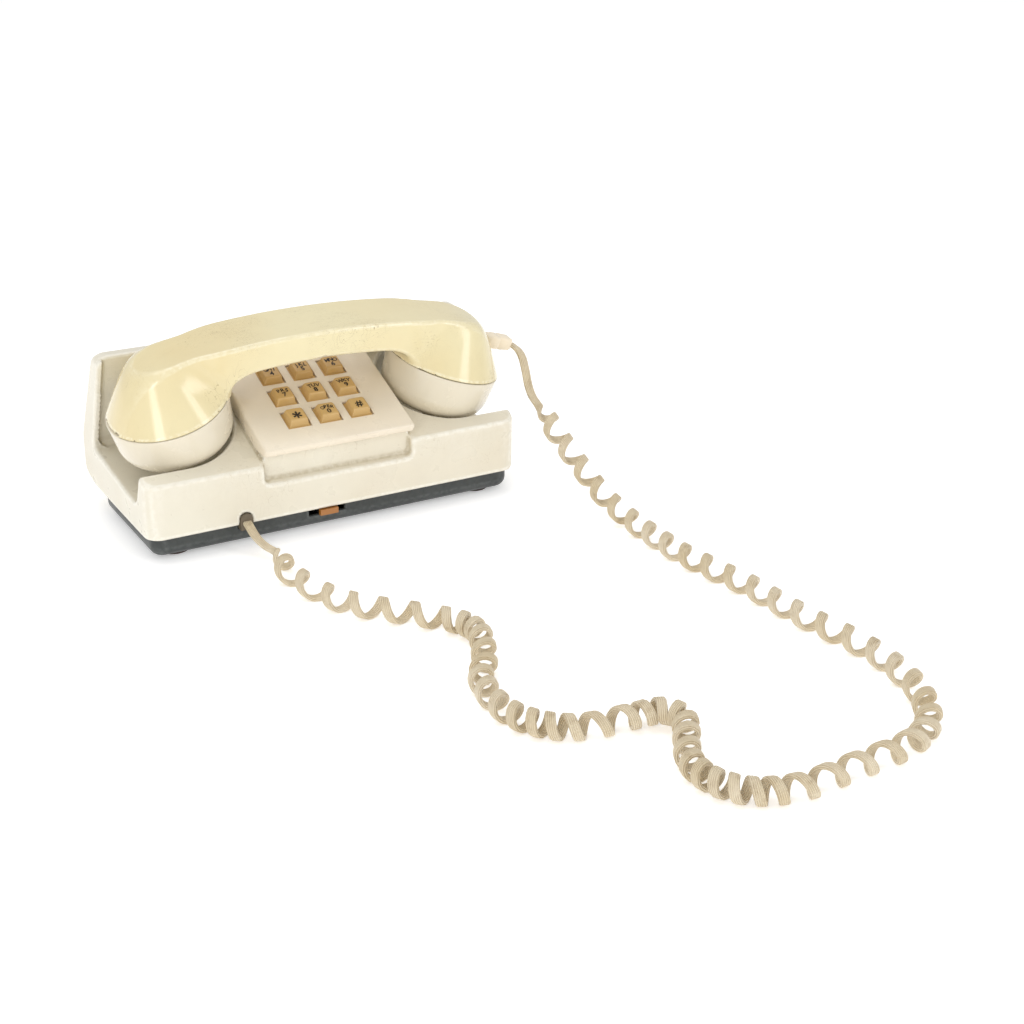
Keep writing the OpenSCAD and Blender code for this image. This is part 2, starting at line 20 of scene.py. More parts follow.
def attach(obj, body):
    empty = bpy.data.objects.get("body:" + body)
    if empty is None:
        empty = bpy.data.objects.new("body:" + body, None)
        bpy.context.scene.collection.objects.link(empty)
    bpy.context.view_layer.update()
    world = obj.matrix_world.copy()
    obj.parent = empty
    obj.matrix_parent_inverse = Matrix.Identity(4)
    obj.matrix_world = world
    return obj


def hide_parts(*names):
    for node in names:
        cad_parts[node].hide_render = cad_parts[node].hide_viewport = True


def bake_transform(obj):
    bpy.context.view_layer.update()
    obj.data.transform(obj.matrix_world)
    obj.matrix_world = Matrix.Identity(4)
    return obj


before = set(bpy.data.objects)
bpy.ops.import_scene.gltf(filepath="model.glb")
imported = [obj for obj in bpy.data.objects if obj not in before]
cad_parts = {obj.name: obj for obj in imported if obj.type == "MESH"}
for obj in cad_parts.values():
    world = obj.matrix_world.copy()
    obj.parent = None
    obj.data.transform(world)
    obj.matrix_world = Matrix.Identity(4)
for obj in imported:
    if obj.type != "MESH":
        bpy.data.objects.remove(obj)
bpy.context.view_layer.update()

LOG = logging.getLogger("telephone")
MM = 0.001
Field = Callable[[np.ndarray, np.ndarray, np.ndarray], np.ndarray]
Pair = tuple[float, float]
Triple = tuple[float, float, float]
Colour = tuple[int, int, int]
Solid = tuple[np.ndarray, list[list[int]]]

FRONT_Y = -52.725
TILT = math.radians(22.0)
REST_Y = FRONT_Y + 36.9
REST_Z = 69.4
REST_TILT = math.radians(9.5)
EXIT_X = -53.3
SCREWS = ((48, 16), (60, 70))
CAP_X = 78.4
CAP_R = 31.4
CAP_LEAN = math.radians(15.7)


# ---- Signed distances, negative inside ----
def union_round(a: np.ndarray, b: np.ndarray, r: float | np.ndarray) -> np.ndarray:
    """Union of two fields whose inner corner is filled with an arc of radius r."""
    return np.maximum(r, np.minimum(a, b)) - np.hypot(np.maximum(r - a, 0), np.maximum(r - b, 0))


def meet_round(a: np.ndarray, b: np.ndarray, r: float | np.ndarray) -> np.ndarray:
    """Intersection of two fields whose outer corner is an arc of radius r."""
    return np.minimum(-r, np.maximum(a, b)) + np.hypot(np.maximum(r + a, 0), np.maximum(r + b, 0))


def cut_round(a: np.ndarray, b: np.ndarray, r: float | np.ndarray) -> np.ndarray:
    """Field a less field b, with an outer corner of radius r."""
    return meet_round(a, -b, r)


def box_field(a: np.ndarray, b: np.ndarray, lo: Pair, hi: Pair, r: float) -> np.ndarray:
    """Distance to a rectangle with corners lo and hi and corner radius r."""
    qa = np.abs(a - (lo[0] + hi[0]) / 2) - (hi[0] - lo[0]) / 2 + r
    qb = np.abs(b - (lo[1] + hi[1]) / 2) - (hi[1] - lo[1]) / 2 + r
    return np.hypot(np.maximum(qa, 0), np.maximum(qb, 0)) + np.minimum(np.maximum(qa, qb), 0) - r


def outline_field(a: np.ndarray, b: np.ndarray, outline: list[Pair] | np.ndarray) -> np.ndarray:
    """Distance to a closed polygon: its nearest edge, with the sign from how often a ray crosses it."""
    pts = np.asarray(outline, float)
    best = np.full(np.broadcast(a, b).shape, 1e18)
    inside = np.zeros(best.shape, bool)
    for p, q in zip(pts, np.roll(pts, -1, axis=0)):
        e = q - p
        wa, wb = a - p[0], b - p[1]
        t = np.clip((wa * e[0] + wb * e[1]) / (e @ e), 0, 1)
        best = np.minimum(best, (wa - t * e[0]) ** 2 + (wb - t * e[1]) ** 2)
        crosses = (p[1] > b) != (q[1] > b)
        if abs(e[1]) > 1e-12:
            inside ^= crosses & (a < p[0] + (b - p[1]) * e[0] / e[1])
    return np.where(inside, -1, 1) * np.sqrt(best)


def smooth_curve(points: list[tuple[float, ...]], per_span: int) -> np.ndarray:
    """A curve through the points: each span blends its four neighbours (Catmull-Rom).

    Args:
        points: what the curve passes through.
        per_span: steps from one point to the next.
    Returns:
        The curve's points, the last one included.
    """
    p = np.asarray(points, float)
    p = np.vstack([2 * p[0] - p[1], p, 2 * p[-1] - p[-2]])
    t = np.linspace(0, 1, per_span, endpoint=False)[:, None]
    rows = [
        0.5 * ((2 * p[i]) + (p[i + 1] - p[i - 1]) * t
               + (2 * p[i - 1] - 5 * p[i] + 4 * p[i + 1] - p[i + 2]) * t**2
               + (3 * p[i] - p[i - 1] - 3 * p[i + 1] + p[i + 2]) * t**3)
        for i in range(1, len(p) - 2)
    ]
    return np.vstack([*rows, p[-2:-1]])


@dataclass
class Skin:
    """A mesh on the zero level of a field, worked out for a whole grid at once (surface nets)."""

    field: Field
    lo: Triple
    hi: Triple
    step: float

    def mesh(self) -> tuple[np.ndarray, np.ndarray, np.ndarray, np.ndarray]:
        """One vertex in each cell that the surface passes, a quad round each grid edge that it crosses.

        Returns:
            Points in millimetres, quads, normals, and how sharply the surface bends at each point.
        """
        axes = [np.arange(a - self.step, b + 2 * self.step, self.step) for a, b in zip(self.lo, self.hi)]
        grid = self.field(axes[0][:, None, None], axes[1][None, :, None], axes[2][None, None, :])
        grid = np.broadcast_to(grid, tuple(len(a) for a in axes)).astype(np.float64)
        inside = grid < 0
        shape = np.array(grid.shape) - 1
        corners = [inside[i:i + shape[0], j:j + shape[1], k:k + shape[2]]
                   for i in (0, 1) for j in (0, 1) for k in (0, 1)]
        count = np.sum(corners, axis=0)
        cells = np.argwhere((count > 0) & (count < 8))
        index = np.full(tuple(shape), -1)
        index[tuple(cells.T)] = np.arange(len(cells))
        total, hits = np.zeros((len(cells), 3)), np.zeros(len(cells))
        for axis in range(3):
            others = [a for a in range(3) if a != axis]
            for u in (0, 1):
                for w in (0, 1):
                    start = cells.copy()
                    start[:, others[0]] += u
                    start[:, others[1]] += w
                    end = start.copy()
                    end[:, axis] += 1
                    f0, f1 = grid[tuple(start.T)], grid[tuple(end.T)]
                    mask = (f0 < 0) != (f1 < 0)
                    t = np.where(mask, f0 / np.where(mask, f0 - f1, 1), 0)
                    point = start.astype(float)
                    point[:, axis] += t
                    total += point * mask[:, None]
                    hits += mask
        points = total / hits[:, None] * self.step + np.array([a[0] for a in axes])
        quads = []
        for axis in range(3):
            b, c = (axis + 1) % 3, (axis + 2) % 3
            lower = [slice(None)] * 3
            upper = [slice(None)] * 3
            lower[axis], upper[axis] = slice(0, -1), slice(1, None)
            first, second = inside[tuple(lower)], inside[tuple(upper)]
            at = np.argwhere(first != second)
            at = at[(at[:, b] > 0) & (at[:, c] > 0) & (at[:, b] < shape[b]) & (at[:, c] < shape[c])]
            flip = second[tuple(at.T)]
            ring = []
            for db, dc in ((-1, -1), (0, -1), (0, 0), (-1, 0)):
                cell = at.copy()
                cell[:, b] += db
                cell[:, c] += dc
                ring.append(index[tuple(cell.T)])
            quad = np.stack(ring, axis=1)
            quads.append(np.where(flip[:, None], quad[:, ::-1], quad))
        faces = np.vstack(quads)
        for _ in range(3):
            value, slope, _bend = self.sample(points, 0.15)
            points = points - np.clip(value, -0.6, 0.6)[:, None] * slope
        _value, slope, _bend = self.sample(points, 0.3)
        return points, faces, slope, self.sample(points, 1.1)[2]

    def sample(self, p: np.ndarray, h: float) -> tuple[np.ndarray, np.ndarray, np.ndarray]:
        """Value, unit slope and the sum of second differences of the field at points p, with step h."""
        value = self.field(*p.T)
        plus = [self.field(*(p + h * along).T) for along in np.eye(3)]
        minus = [self.field(*(p - h * along).T) for along in np.eye(3)]
        slope = np.stack([a - b for a, b in zip(plus, minus)], axis=1) / (2 * h)
        length = np.linalg.norm(slope, axis=1, keepdims=True)
        bend = (sum(plus) + sum(minus) - 6 * value) / (h * h)
        return value, slope / np.maximum(length, 1e-6), bend


# ---- Meshes ----
def to_world(points: np.ndarray, tilt: float, y: float, z: float) -> np.ndarray:
    """Points of a frame turned by tilt about X and set at (0, y, z), in the shared frame."""
    c, s = math.cos(tilt), math.sin(tilt)
    p = np.asarray(points, float)
    return np.stack([p[:, 0], y + p[:, 1] * c - p[:, 2] * s, z + p[:, 1] * s + p[:, 2] * c], axis=1)


def on_slope(points: np.ndarray) -> np.ndarray:
    """Points (x, s, m) of the key block's slope, in the shared frame."""
    return to_world(points, TILT, FRONT_Y, 0.0)


def on_handset(points: np.ndarray) -> np.ndarray:
    """Points (x, v, n) of the handset's frame, in the shared frame."""
    return to_world(points, REST_TILT, REST_Y, REST_Z)


def on_cap(points: np.ndarray, side: int) -> np.ndarray:
    """Points of a cap's own frame, with its axis along the third number, in the shared frame."""
    c, s = math.cos(CAP_LEAN), math.sin(CAP_LEAN) * side
    p = np.asarray(points, float)
    turned = np.stack([side * CAP_X + p[:, 0] * c + p[:, 2] * s, p[:, 1], -p[:, 0] * s + p[:, 2] * c], axis=1)
    return on_handset(turned)


def grid_quads(rows: int, columns: int) -> np.ndarray:
    """Quads between the rows of a grid whose columns close on themselves."""
    i, j = np.meshgrid(np.arange(rows - 1), np.arange(columns), indexing="ij")
    k = (j + 1) % columns
    near, far = i * columns, (i + 1) * columns
    return np.stack([near + j, near + k, far + k, far + j], axis=-1).reshape(-1, 4)


def closed_grid(rings: np.ndarray) -> Solid:
    """A skin through rings of points (rows, columns, 3), closed at both ends by a fan to its middle.

    Args:
        rings: the rings, each one row.
    Returns:
        The points, and the faces over them.
    """
    rows, columns, _ = rings.shape
    points = np.vstack([rings.reshape(-1, 3), rings[0].mean(0), rings[-1].mean(0)])
    j = np.arange(columns)
    k = (j + 1) % columns
    first = np.stack([np.full(columns, rows * columns), k, j], axis=1)
    end = (rows - 1) * columns
    last = np.stack([np.full(columns, rows * columns + 1), end + j, end + k], axis=1)
    return points, grid_quads(rows, columns).tolist() + first.tolist() + last.tolist()


def round_ring(half_a: float, half_b: float, r: float, per_corner: int) -> np.ndarray:
    """The outline of a rectangle with round corners, as arcs of per_corner points."""
    t = np.linspace(0, math.pi / 2, per_corner)
    arcs = []
    for quarter, (sa, sb) in enumerate(((1, 1), (-1, 1), (-1, -1), (1, -1))):
        w = t + quarter * math.pi / 2
        arcs.append(np.stack([sa * (half_a - r) + r * np.cos(w), sb * (half_b - r) + r * np.sin(w)], axis=1))
    return np.vstack(arcs)


def lathe(profile: list[Pair] | np.ndarray, sides: int) -> Solid:
    """A profile (radius, height) turned about the third axis, closed by fans at both ends."""
    p = np.asarray(profile, float)
    w = np.linspace(0, 2 * math.pi, sides, endpoint=False)
    height = np.repeat(p[:, 1:], sides, axis=1)
    return closed_grid(np.stack([p[:, :1] * np.cos(w), p[:, :1] * np.sin(w), height], axis=-1))


def arc(cx: float, cy: float, r: float, a0: float, a1: float, n: int) -> list[Pair]:
    """Points of an arc about (cx, cy) from angle a0 to a1, in degrees."""
    w = np.radians(np.linspace(a0, a1, n))
    return list(zip(cx + r * np.cos(w), cy + r * np.sin(w)))


@dataclass
class Piece:
    """What a finished piece is called, what it rides on and what it stands for."""

    name: str
    body: str
    slot: str
    stands_for: tuple[str, ...] = ()

    def make(self, points: np.ndarray, faces: np.ndarray | list, material: bpy.types.Material,
             normals: np.ndarray | None = None, bend: np.ndarray | None = None, smooth: bool = True,
             recalculate: bool = False) -> bpy.types.Object:
        """Puts points in millimetres into a mesh at the origin and dresses it.

        Args:
            points: the vertices, in the shared frame.
            faces: quads or other faces over them.
            material: the finish.
            normals: a normal for each vertex, where the surface's own is better than the facets'.
            bend: how sharply the surface bends at each vertex, kept as the attribute "edge".
            smooth: True for smooth shading.
            recalculate: True to turn the faces outwards.
        Returns:
            The new object.
        """
        mesh = bpy.data.meshes.new(self.name)
        faces = faces.tolist() if isinstance(faces, np.ndarray) else faces
        mesh.from_pydata((np.asarray(points) * MM).tolist(), [], faces)
        mesh.update()
        if bend is not None:
            attribute = mesh.attributes.new("edge", "FLOAT", "POINT")
            attribute.data.foreach_set("value", np.clip(bend, -1, 1).astype(np.float32))
        if recalculate:
            tidy_mesh(mesh)
        if smooth:
            mesh.shade_smooth()
        else:
            mesh.shade_flat()
        if normals is not None:
            mesh.normals_split_custom_set_from_vertices(normals.tolist())
        made = bpy.data.objects.new(self.name, mesh)
        bpy.context.scene.collection.objects.link(made)
        made.data.materials.append(material)
        self.dress(made)
        return made

    def dress(self, made: bpy.types.Object) -> None:
        """Puts the piece on its body and hides the CAD nodes it stands for."""
        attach(made, self.body)
        if self.stands_for:
            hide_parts(*self.stands_for)
        LOG.info("%s: %d faces", self.name, len(made.data.polygons))


def tidy_mesh(mesh: bpy.types.Mesh) -> None:
    """Merges doubles and turns the faces outwards."""
    work = bmesh.new()
    work.from_mesh(mesh)
    bmesh.ops.remove_doubles(work, verts=work.verts, dist=1e-7)
    bmesh.ops.recalc_face_normals(work, faces=work.faces)
    work.to_mesh(mesh)
    work.free()


def bake_modifiers(made: bpy.types.Object) -> None:
    """Makes the mesh that the piece's modifiers give its own, and takes them off."""
    bpy.context.view_layer.update()
    made.data = bpy.data.meshes.new_from_object(made.evaluated_get(bpy.context.evaluated_depsgraph_get()))
    made.modifiers.clear()


def carve(made: bpy.types.Object, cutters: list[Solid]) -> None:
    """Cuts closed shapes out of a piece and keeps the result as its mesh.

    Args:
        made: the piece, with no modifiers yet.
        cutters: the shapes, in millimetres in the shared frame.
    """
    for points, faces in cutters:
        mesh = bpy.data.meshes.new("cutter")
        mesh.from_pydata((points * MM).tolist(), [], faces)
        tidy_mesh(mesh)
        tool = bpy.data.objects.new("cutter", mesh)
        bpy.context.scene.collection.objects.link(tool)
        change = made.modifiers.new("cut", "BOOLEAN")
        change.object, change.operation, change.solver = tool, "DIFFERENCE", "EXACT"
        bake_modifiers(made)
        bpy.data.objects.remove(tool)


def soften(made: bpy.types.Object, width: float, segments: int) -> None:
    """Rounds a piece's sharp edges by width millimetres."""
    bevel = made.modifiers.new("soft_edges", "BEVEL")
    bevel.width, bevel.segments = width * MM, segments
    bevel.limit_method, bevel.angle_limit = "ANGLE", math.radians(35)
    bevel.harden_normals = True


# ---- Finishes ----
def linear(*colour: float) -> tuple[float, ...]:
    """A colour given on the 0 to 255 screen scale, as linear light with full opacity."""
    share = [c / 255 for c in colour]
    return (*(c / 12.92 if c < 0.0404 else ((c + 0.055) / 1.055) ** 2.4 for c in share), 1.0)


class Board:
    """A material's node tree, with short calls to add and join nodes."""

    def __init__(self, name: str) -> None:
        """Starts an empty tree with its output and its shader."""
        self.material = bpy.data.materials.new(name)
        self.material.use_nodes = True
        self.tree = self.material.node_tree
        self.tree.nodes.clear()
        self.out = self.node("ShaderNodeOutputMaterial")
        self.shader = self.node("ShaderNodeBsdfPrincipled")
        self.link(self.shader.outputs[0], self.out.inputs[0])
        self.place = self.node("ShaderNodeTexCoord").outputs["Object"]

    def node(self, kind: str, **values: object) -> bpy.types.Node:
        """Adds a node and sets its properties."""
        made = self.tree.nodes.new(kind)
        for key, value in values.items():
            setattr(made, key, value)
        return made

    def link(self, source: bpy.types.NodeSocket, target: bpy.types.NodeSocket) -> None:
        """Joins two sockets."""
        self.tree.links.new(source, target)

    def fill(self, socket: bpy.types.NodeSocket, value: object) -> None:
        """Links a socket to another, or sets its value."""
        if isinstance(value, bpy.types.NodeSocket):
            self.link(value, socket)
        else:
            socket.default_value = value

    def noise(self, scale: float, detail: float = 2.0, stretch: Triple = (1, 1, 1),
              rough: float = 0.5) -> bpy.types.NodeSocket:
        """Noise on object coordinates.

        Args:
            scale: lumps per metre.
            detail: how many finer layers it has.
            stretch: a factor on the scale for each axis.
            rough: how strong the finer layers are.
        Returns:
            The noise, from 0 to 1.
        """
        mapping = self.node("ShaderNodeMapping")
        self.link(self.place, mapping.inputs[0])
        mapping.inputs["Scale"].default_value = stretch
        made = self.node("ShaderNodeTexNoise")
        self.link(mapping.outputs[0], made.inputs["Vector"])
        made.inputs["Scale"].default_value = scale
        made.inputs["Detail"].default_value = detail
        made.inputs["Roughness"].default_value = rough
        return made.outputs["Fac"]

    def ramp(self, source: bpy.types.NodeSocket, low: float, high: float, to_low: float = 0.0,
             to_high: float = 1.0) -> bpy.types.NodeSocket:
        """Maps low to high onto to_low to to_high, held at the ends."""
        made = self.node("ShaderNodeMapRange", clamp=True)
        for i, v in enumerate((source, low, high, to_low, to_high)):
            self.fill(made.inputs[i], v)
        return made.outputs[0]

    def math(self, operation: str, a: object, b: object = 0.0) -> bpy.types.NodeSocket:
        """One arithmetic step."""
        made = self.node("ShaderNodeMath", operation=operation)
        self.fill(made.inputs[0], a)
        self.fill(made.inputs[1], b)
        return made.outputs[0]

    def mix(self, amount: object, a: object, b: object) -> bpy.types.NodeSocket:
        """Mixes two colours."""
        made = self.node("ShaderNodeMix", data_type="RGBA")
        self.fill(made.inputs[0], amount)
        self.fill(made.inputs[6], a)
        self.fill(made.inputs[7], b)
        return made.outputs[2]

    def bump(self, height: bpy.types.NodeSocket, distance: float, strength: float = 1.0,
             normal: bpy.types.NodeSocket | None = None) -> bpy.types.NodeSocket:
        """A bump of that height in metres."""
        made = self.node("ShaderNodeBump")
        made.inputs["Strength"].default_value = strength
        made.inputs["Distance"].default_value = distance
        self.link(height, made.inputs["Height"])
        if normal is not None:
            self.link(normal, made.inputs["Normal"])
        return made.outputs[0]


@dataclass(frozen=True)
class Moulded:
    """Moulded plastic that has aged: cloudy tone, edges lighter from wear plus a painted highlight, dirt plus
    painted shade in concave corners, chips and hair scratches.
    """

    name: str
    tone: Colour
    aged: Colour
    rough: float
    coat: float
    # Colour for convex edges, lighter from wear plus a painted highlight.
    edge: Colour | None
    # Colour and strength of the darkening in concave corners: dirt plus painted shade.
    corner_dirt_and_shade: Colour
    corner_dirt_and_shade_amount: float
    specks: float = 0.0
    scratches: float = 0.0

    def material(self) -> bpy.types.Material:
        """Builds the node tree: tone, edges lighter from wear plus a painted highlight, concave corners
        darker from dirt plus painted shade, specks, scratches, then gloss and relief.
        """
        b = Board(self.name)
        cloud = b.ramp(b.noise(14, 3), 0.35, 0.68)
        colour = b.mix(cloud, linear(*self.tone), linear(*self.aged))
        fine = b.ramp(b.noise(160, 4, rough=0.65), 0.3, 0.75)
        darker = linear(*[int(c * 0.86) for c in self.tone])
        colour = b.mix(b.math("MULTIPLY", fine, 0.10), colour, darker)
        bend = b.node("ShaderNodeAttribute", attribute_name="edge").outputs["Fac"]
        breakup = b.ramp(b.noise(420, 3), 0.36, 0.6)
        # Convex edges go toward the edge colour: partly wear, partly a painted highlight on the rounded
        # edges.
        if self.edge is not None:
            patchy = b.math("ADD", b.math("MULTIPLY", breakup, 0.6), 0.35)
            edge_wear_and_highlight = b.math("MULTIPLY", b.ramp(bend, 0.10, 0.40), patchy)
            colour = b.mix(edge_wear_and_highlight, colour, linear(*self.edge))
        # Concave corners go darker: partly dirt, partly painted shade where the corners fall in shadow.
        if self.corner_dirt_and_shade_amount > 0:
            corner = b.math("MULTIPLY", b.ramp(bend, -0.08, -0.5), self.corner_dirt_and_shade_amount)
            patchy = b.math("ADD", b.math("MULTIPLY", breakup, 0.5), 0.5)
            colour = b.mix(b.math("MULTIPLY", corner, patchy), colour, linear(*self.corner_dirt_and_shade))
        rough = b.ramp(b.noise(55, 4), 0.3, 0.75, self.rough * 0.8, self.rough * 1.35)
        normal = b.bump(b.noise(36, 2), 0.00024, 0.35)
        if self.specks > 0:
            spots = b.node("ShaderNodeTexVoronoi", feature="F1")
            b.link(b.place, spots.inputs["Vector"])
            spots.inputs["Scale"].default_value = 150
            spots.inputs["Randomness"].default_value = 1.0
            shuffled = b.math("FRACT", b.math("MULTIPLY", b.noise(41, 0), 37.0))
            picked = b.math("GREATER_THAN", shuffled, 1 - self.specks)
            dot = b.math("MULTIPLY", b.ramp(spots.outputs["Distance"], 0.10, 0.05), picked)
            colour = b.mix(b.math("MULTIPLY", dot, 0.75), colour, linear(128, 92, 56))
            rough = b.math("ADD", rough, b.math("MULTIPLY", dot, 0.3))
        if self.scratches > 0:
            line = None
            for scale, stretch in ((95, (1, 14, 5)), (120, (9, 1, 12)), (80, (3, 7, 1))):
                middle = b.math("ABSOLUTE", b.math("SUBTRACT", b.noise(scale, 1, stretch), 0.5))
                where = b.ramp(b.noise(24 + scale / 9, 2), 0.52, 0.62)
                hair = b.math("MULTIPLY", b.ramp(middle, 0.006, 0.0), where)
                line = hair if line is None else b.math("MAXIMUM", line, hair)
            line = b.math("MULTIPLY", line, self.scratches)
            colour = b.mix(line, colour, linear(148, 124, 78))
            normal = b.bump(line, -0.00004, 0.6, normal)
            rough = b.math("ADD", rough, b.math("MULTIPLY", line, 0.25))
        normal = b.bump(b.noise(900, 2), 0.000012, 0.5, normal)
        b.link(colour, b.shader.inputs["Base Color"])
        b.link(rough, b.shader.inputs["Roughness"])
        b.link(normal, b.shader.inputs["Normal"])
        b.shader.inputs["Coat Weight"].default_value = self.coat
        b.shader.inputs["Coat Roughness"].default_value = 0.12
        b.shader.inputs["Subsurface Weight"].default_value = 0.0
        return b.material


@dataclass(frozen=True)
class Metal:
    """Plated or drawn metal with brushing along one axis and a little tarnish."""

    name: str
    tone: Colour
    tarnish: Colour
    rough: float
    along: Triple = (1, 12, 12)

    def material(self) -> bpy.types.Material:
        """Builds the node tree."""
        b = Board(self.name)
        stain = b.ramp(b.noise(60, 4), 0.45, 0.7)
        b.link(b.mix(stain, linear(*self.tone), linear(*self.tarnish)), b.shader.inputs["Base Color"])
        hair = b.noise(260, 3, self.along)
        b.link(b.ramp(hair, 0.3, 0.7, self.rough * 0.7, self.rough * 1.4), b.shader.inputs["Roughness"])
        b.link(b.bump(hair, 0.00002, 0.4), b.shader.inputs["Normal"])
        b.shader.inputs["Metallic"].default_value = 1.0
        return b.material


@dataclass(frozen=True)
class Flexible:
    """A soft cord sheath: fine ribs along it, dirt blotches, and grooves darkened by dirt plus painted shade.
    """

    name: str
    tone: Colour
    aged: Colour
    # Colour of the dirt blotches, and of the dirt plus painted shade in the rib grooves.
    dirt_and_groove_shade: Colour
    rough: float = 0.42
    ribs: int = 14

    def material(self) -> bpy.types.Material:
        """Builds the node tree; the UV runs once round the section and along the length in metres."""
        b = Board(self.name)
        split = b.node("ShaderNodeSeparateXYZ")
        b.link(b.node("ShaderNodeUVMap", uv_map="cord").outputs[0], split.inputs[0])
        ribs = b.math("SINE", b.math("MULTIPLY", split.outputs["X"], 2 * math.pi * self.ribs))
        age = b.ramp(b.noise(30, 3), 0.35, 0.65)
        colour = b.mix(age, linear(*self.tone), linear(*self.aged))
        # Rib grooves go darker: dirt plus painted shade in the grooves. The blotches below are dirt only.
        groove_patchiness = b.ramp(b.noise(240, 3), 0.35, 0.65, 0.15, 0.6)
        groove_dirt_and_shade = b.math("MULTIPLY", b.ramp(ribs, 0.1, -0.9), groove_patchiness)
        colour = b.mix(groove_dirt_and_shade, colour, linear(*self.dirt_and_groove_shade))
        blotch = b.ramp(b.noise(110, 5, rough=0.7), 0.56, 0.72)
        colour = b.mix(b.math("MULTIPLY", blotch, 0.55), colour, linear(*self.dirt_and_groove_shade))
        b.link(colour, b.shader.inputs["Base Color"])
        rough = b.ramp(b.noise(200, 3), 0.3, 0.7, self.rough * 0.8, self.rough * 1.3)
        b.link(rough, b.shader.inputs["Roughness"])
        normal = b.bump(ribs, 0.00022, 0.9)
        b.link(b.bump(b.noise(700, 3), 0.00004, 0.5, normal), b.shader.inputs["Normal"])
        return b.material


class Finishes:
    """Every finish of the telephone, made once."""

    def __init__(self) -> None:
        """Builds the materials that the pieces share."""
        self.shell = Moulded("ivory_shell_plastic", (228, 222, 204), (223, 214, 193), 0.30, 0.25,
                             (237, 232, 218), (170, 154, 118), 0.55, 0.05, 0.25).material()
        self.plate = Moulded("ivory_block_plastic", (236, 225, 204), (230, 217, 196), 0.30, 0.25,
                             (246, 240, 228), (150, 134, 104), 0.6, 0.05, 0.15).material()
        self.cream = Moulded("cream_handset_plastic", (231, 219, 176), (227, 209, 160), 0.18, 0.45,
                             (238, 228, 194), (176, 152, 98), 0.3, 0.03, 0.8).material()
        self.cap = Moulded("ivory_cap_plastic", (228, 219, 199), (220, 210, 186), 0.24, 0.35,
                           (247, 243, 232), (158, 142, 106), 0.6, 0.04, 0.2).material()
        self.base = Moulded("dark_base_plastic", (44, 48, 47), (39, 42, 41), 0.42, 0.06, (84, 88, 86),
                            (44, 44, 42), 0.4).material()
        self.foot = Moulded("brown_foot_rubber", (58, 42, 34), (48, 36, 30), 0.6, 0.0, None,
                            (30, 24, 20), 0.3).material()
        self.key = Moulded("tan_key_plastic", (208, 172, 110), (196, 156, 92), 0.34, 0.15, (226, 196, 140),
                           (120, 88, 44), 0.7, 0.06, 0.15).material()
        self.frame = Moulded("brown_frame_plastic", (128, 92, 52), (92, 64, 36), 0.5, 0.0, None,
                             (50, 34, 20), 0.5).material()
        self.amber = Moulded("amber_lever_plastic", (176, 116, 52), (150, 92, 36), 0.35, 0.2, None,
                             (90, 60, 30), 0.4).material()
        self.relief = Moulded("pale_sleeve_plastic", (243, 230, 206), (240, 222, 192), 0.3, 0.2,
                              (250, 243, 228), (176, 150, 118), 0.5).material()
        self.ink = Moulded("black_key_marks", (34, 28, 22), (44, 36, 28), 0.5, 0.0, None,
                           (20, 16, 12), 0.0).material()
        self.dark = Moulded("dark_inner_plastic", (48, 48, 50), (40, 40, 42), 0.45, 0.0, None,
                            (24, 24, 24), 0.3).material()
        self.board = Moulded("green_board", (84, 104, 58), (72, 92, 48), 0.45, 0.1, None,
                             (40, 50, 30), 0.3).material()
        self.winding = Moulded("lacquered_winding", (140, 70, 34), (118, 54, 26), 0.25, 0.4, None,
                               (60, 28, 14), 0.3).material()
        self.lead = Moulded("red_lead_cover", (150, 50, 40), (132, 42, 34), 0.35, 0.2, None,
                            (70, 26, 20), 0.3).material()
        self.gland = Moulded("grey_gland_rubber", (112, 100, 82), (92, 82, 66), 0.6, 0.0, None,
                             (50, 44, 36), 0.4).material()
        self.steel = Metal("plated_steel", (188, 188, 186), (150, 148, 142), 0.28).material()
        self.brass = Metal("gong_brass", (206, 176, 110), (160, 128, 70), 0.26).material()
        self.pressed = Metal("pressed_capsule_metal", (192, 192, 190), (160, 160, 156), 0.35,
                             (12, 12, 1)).material()
        self.cord = Flexible("beige_cord_sheath", (242, 228, 200), (228, 210, 174),
                             (168, 140, 96)).material()


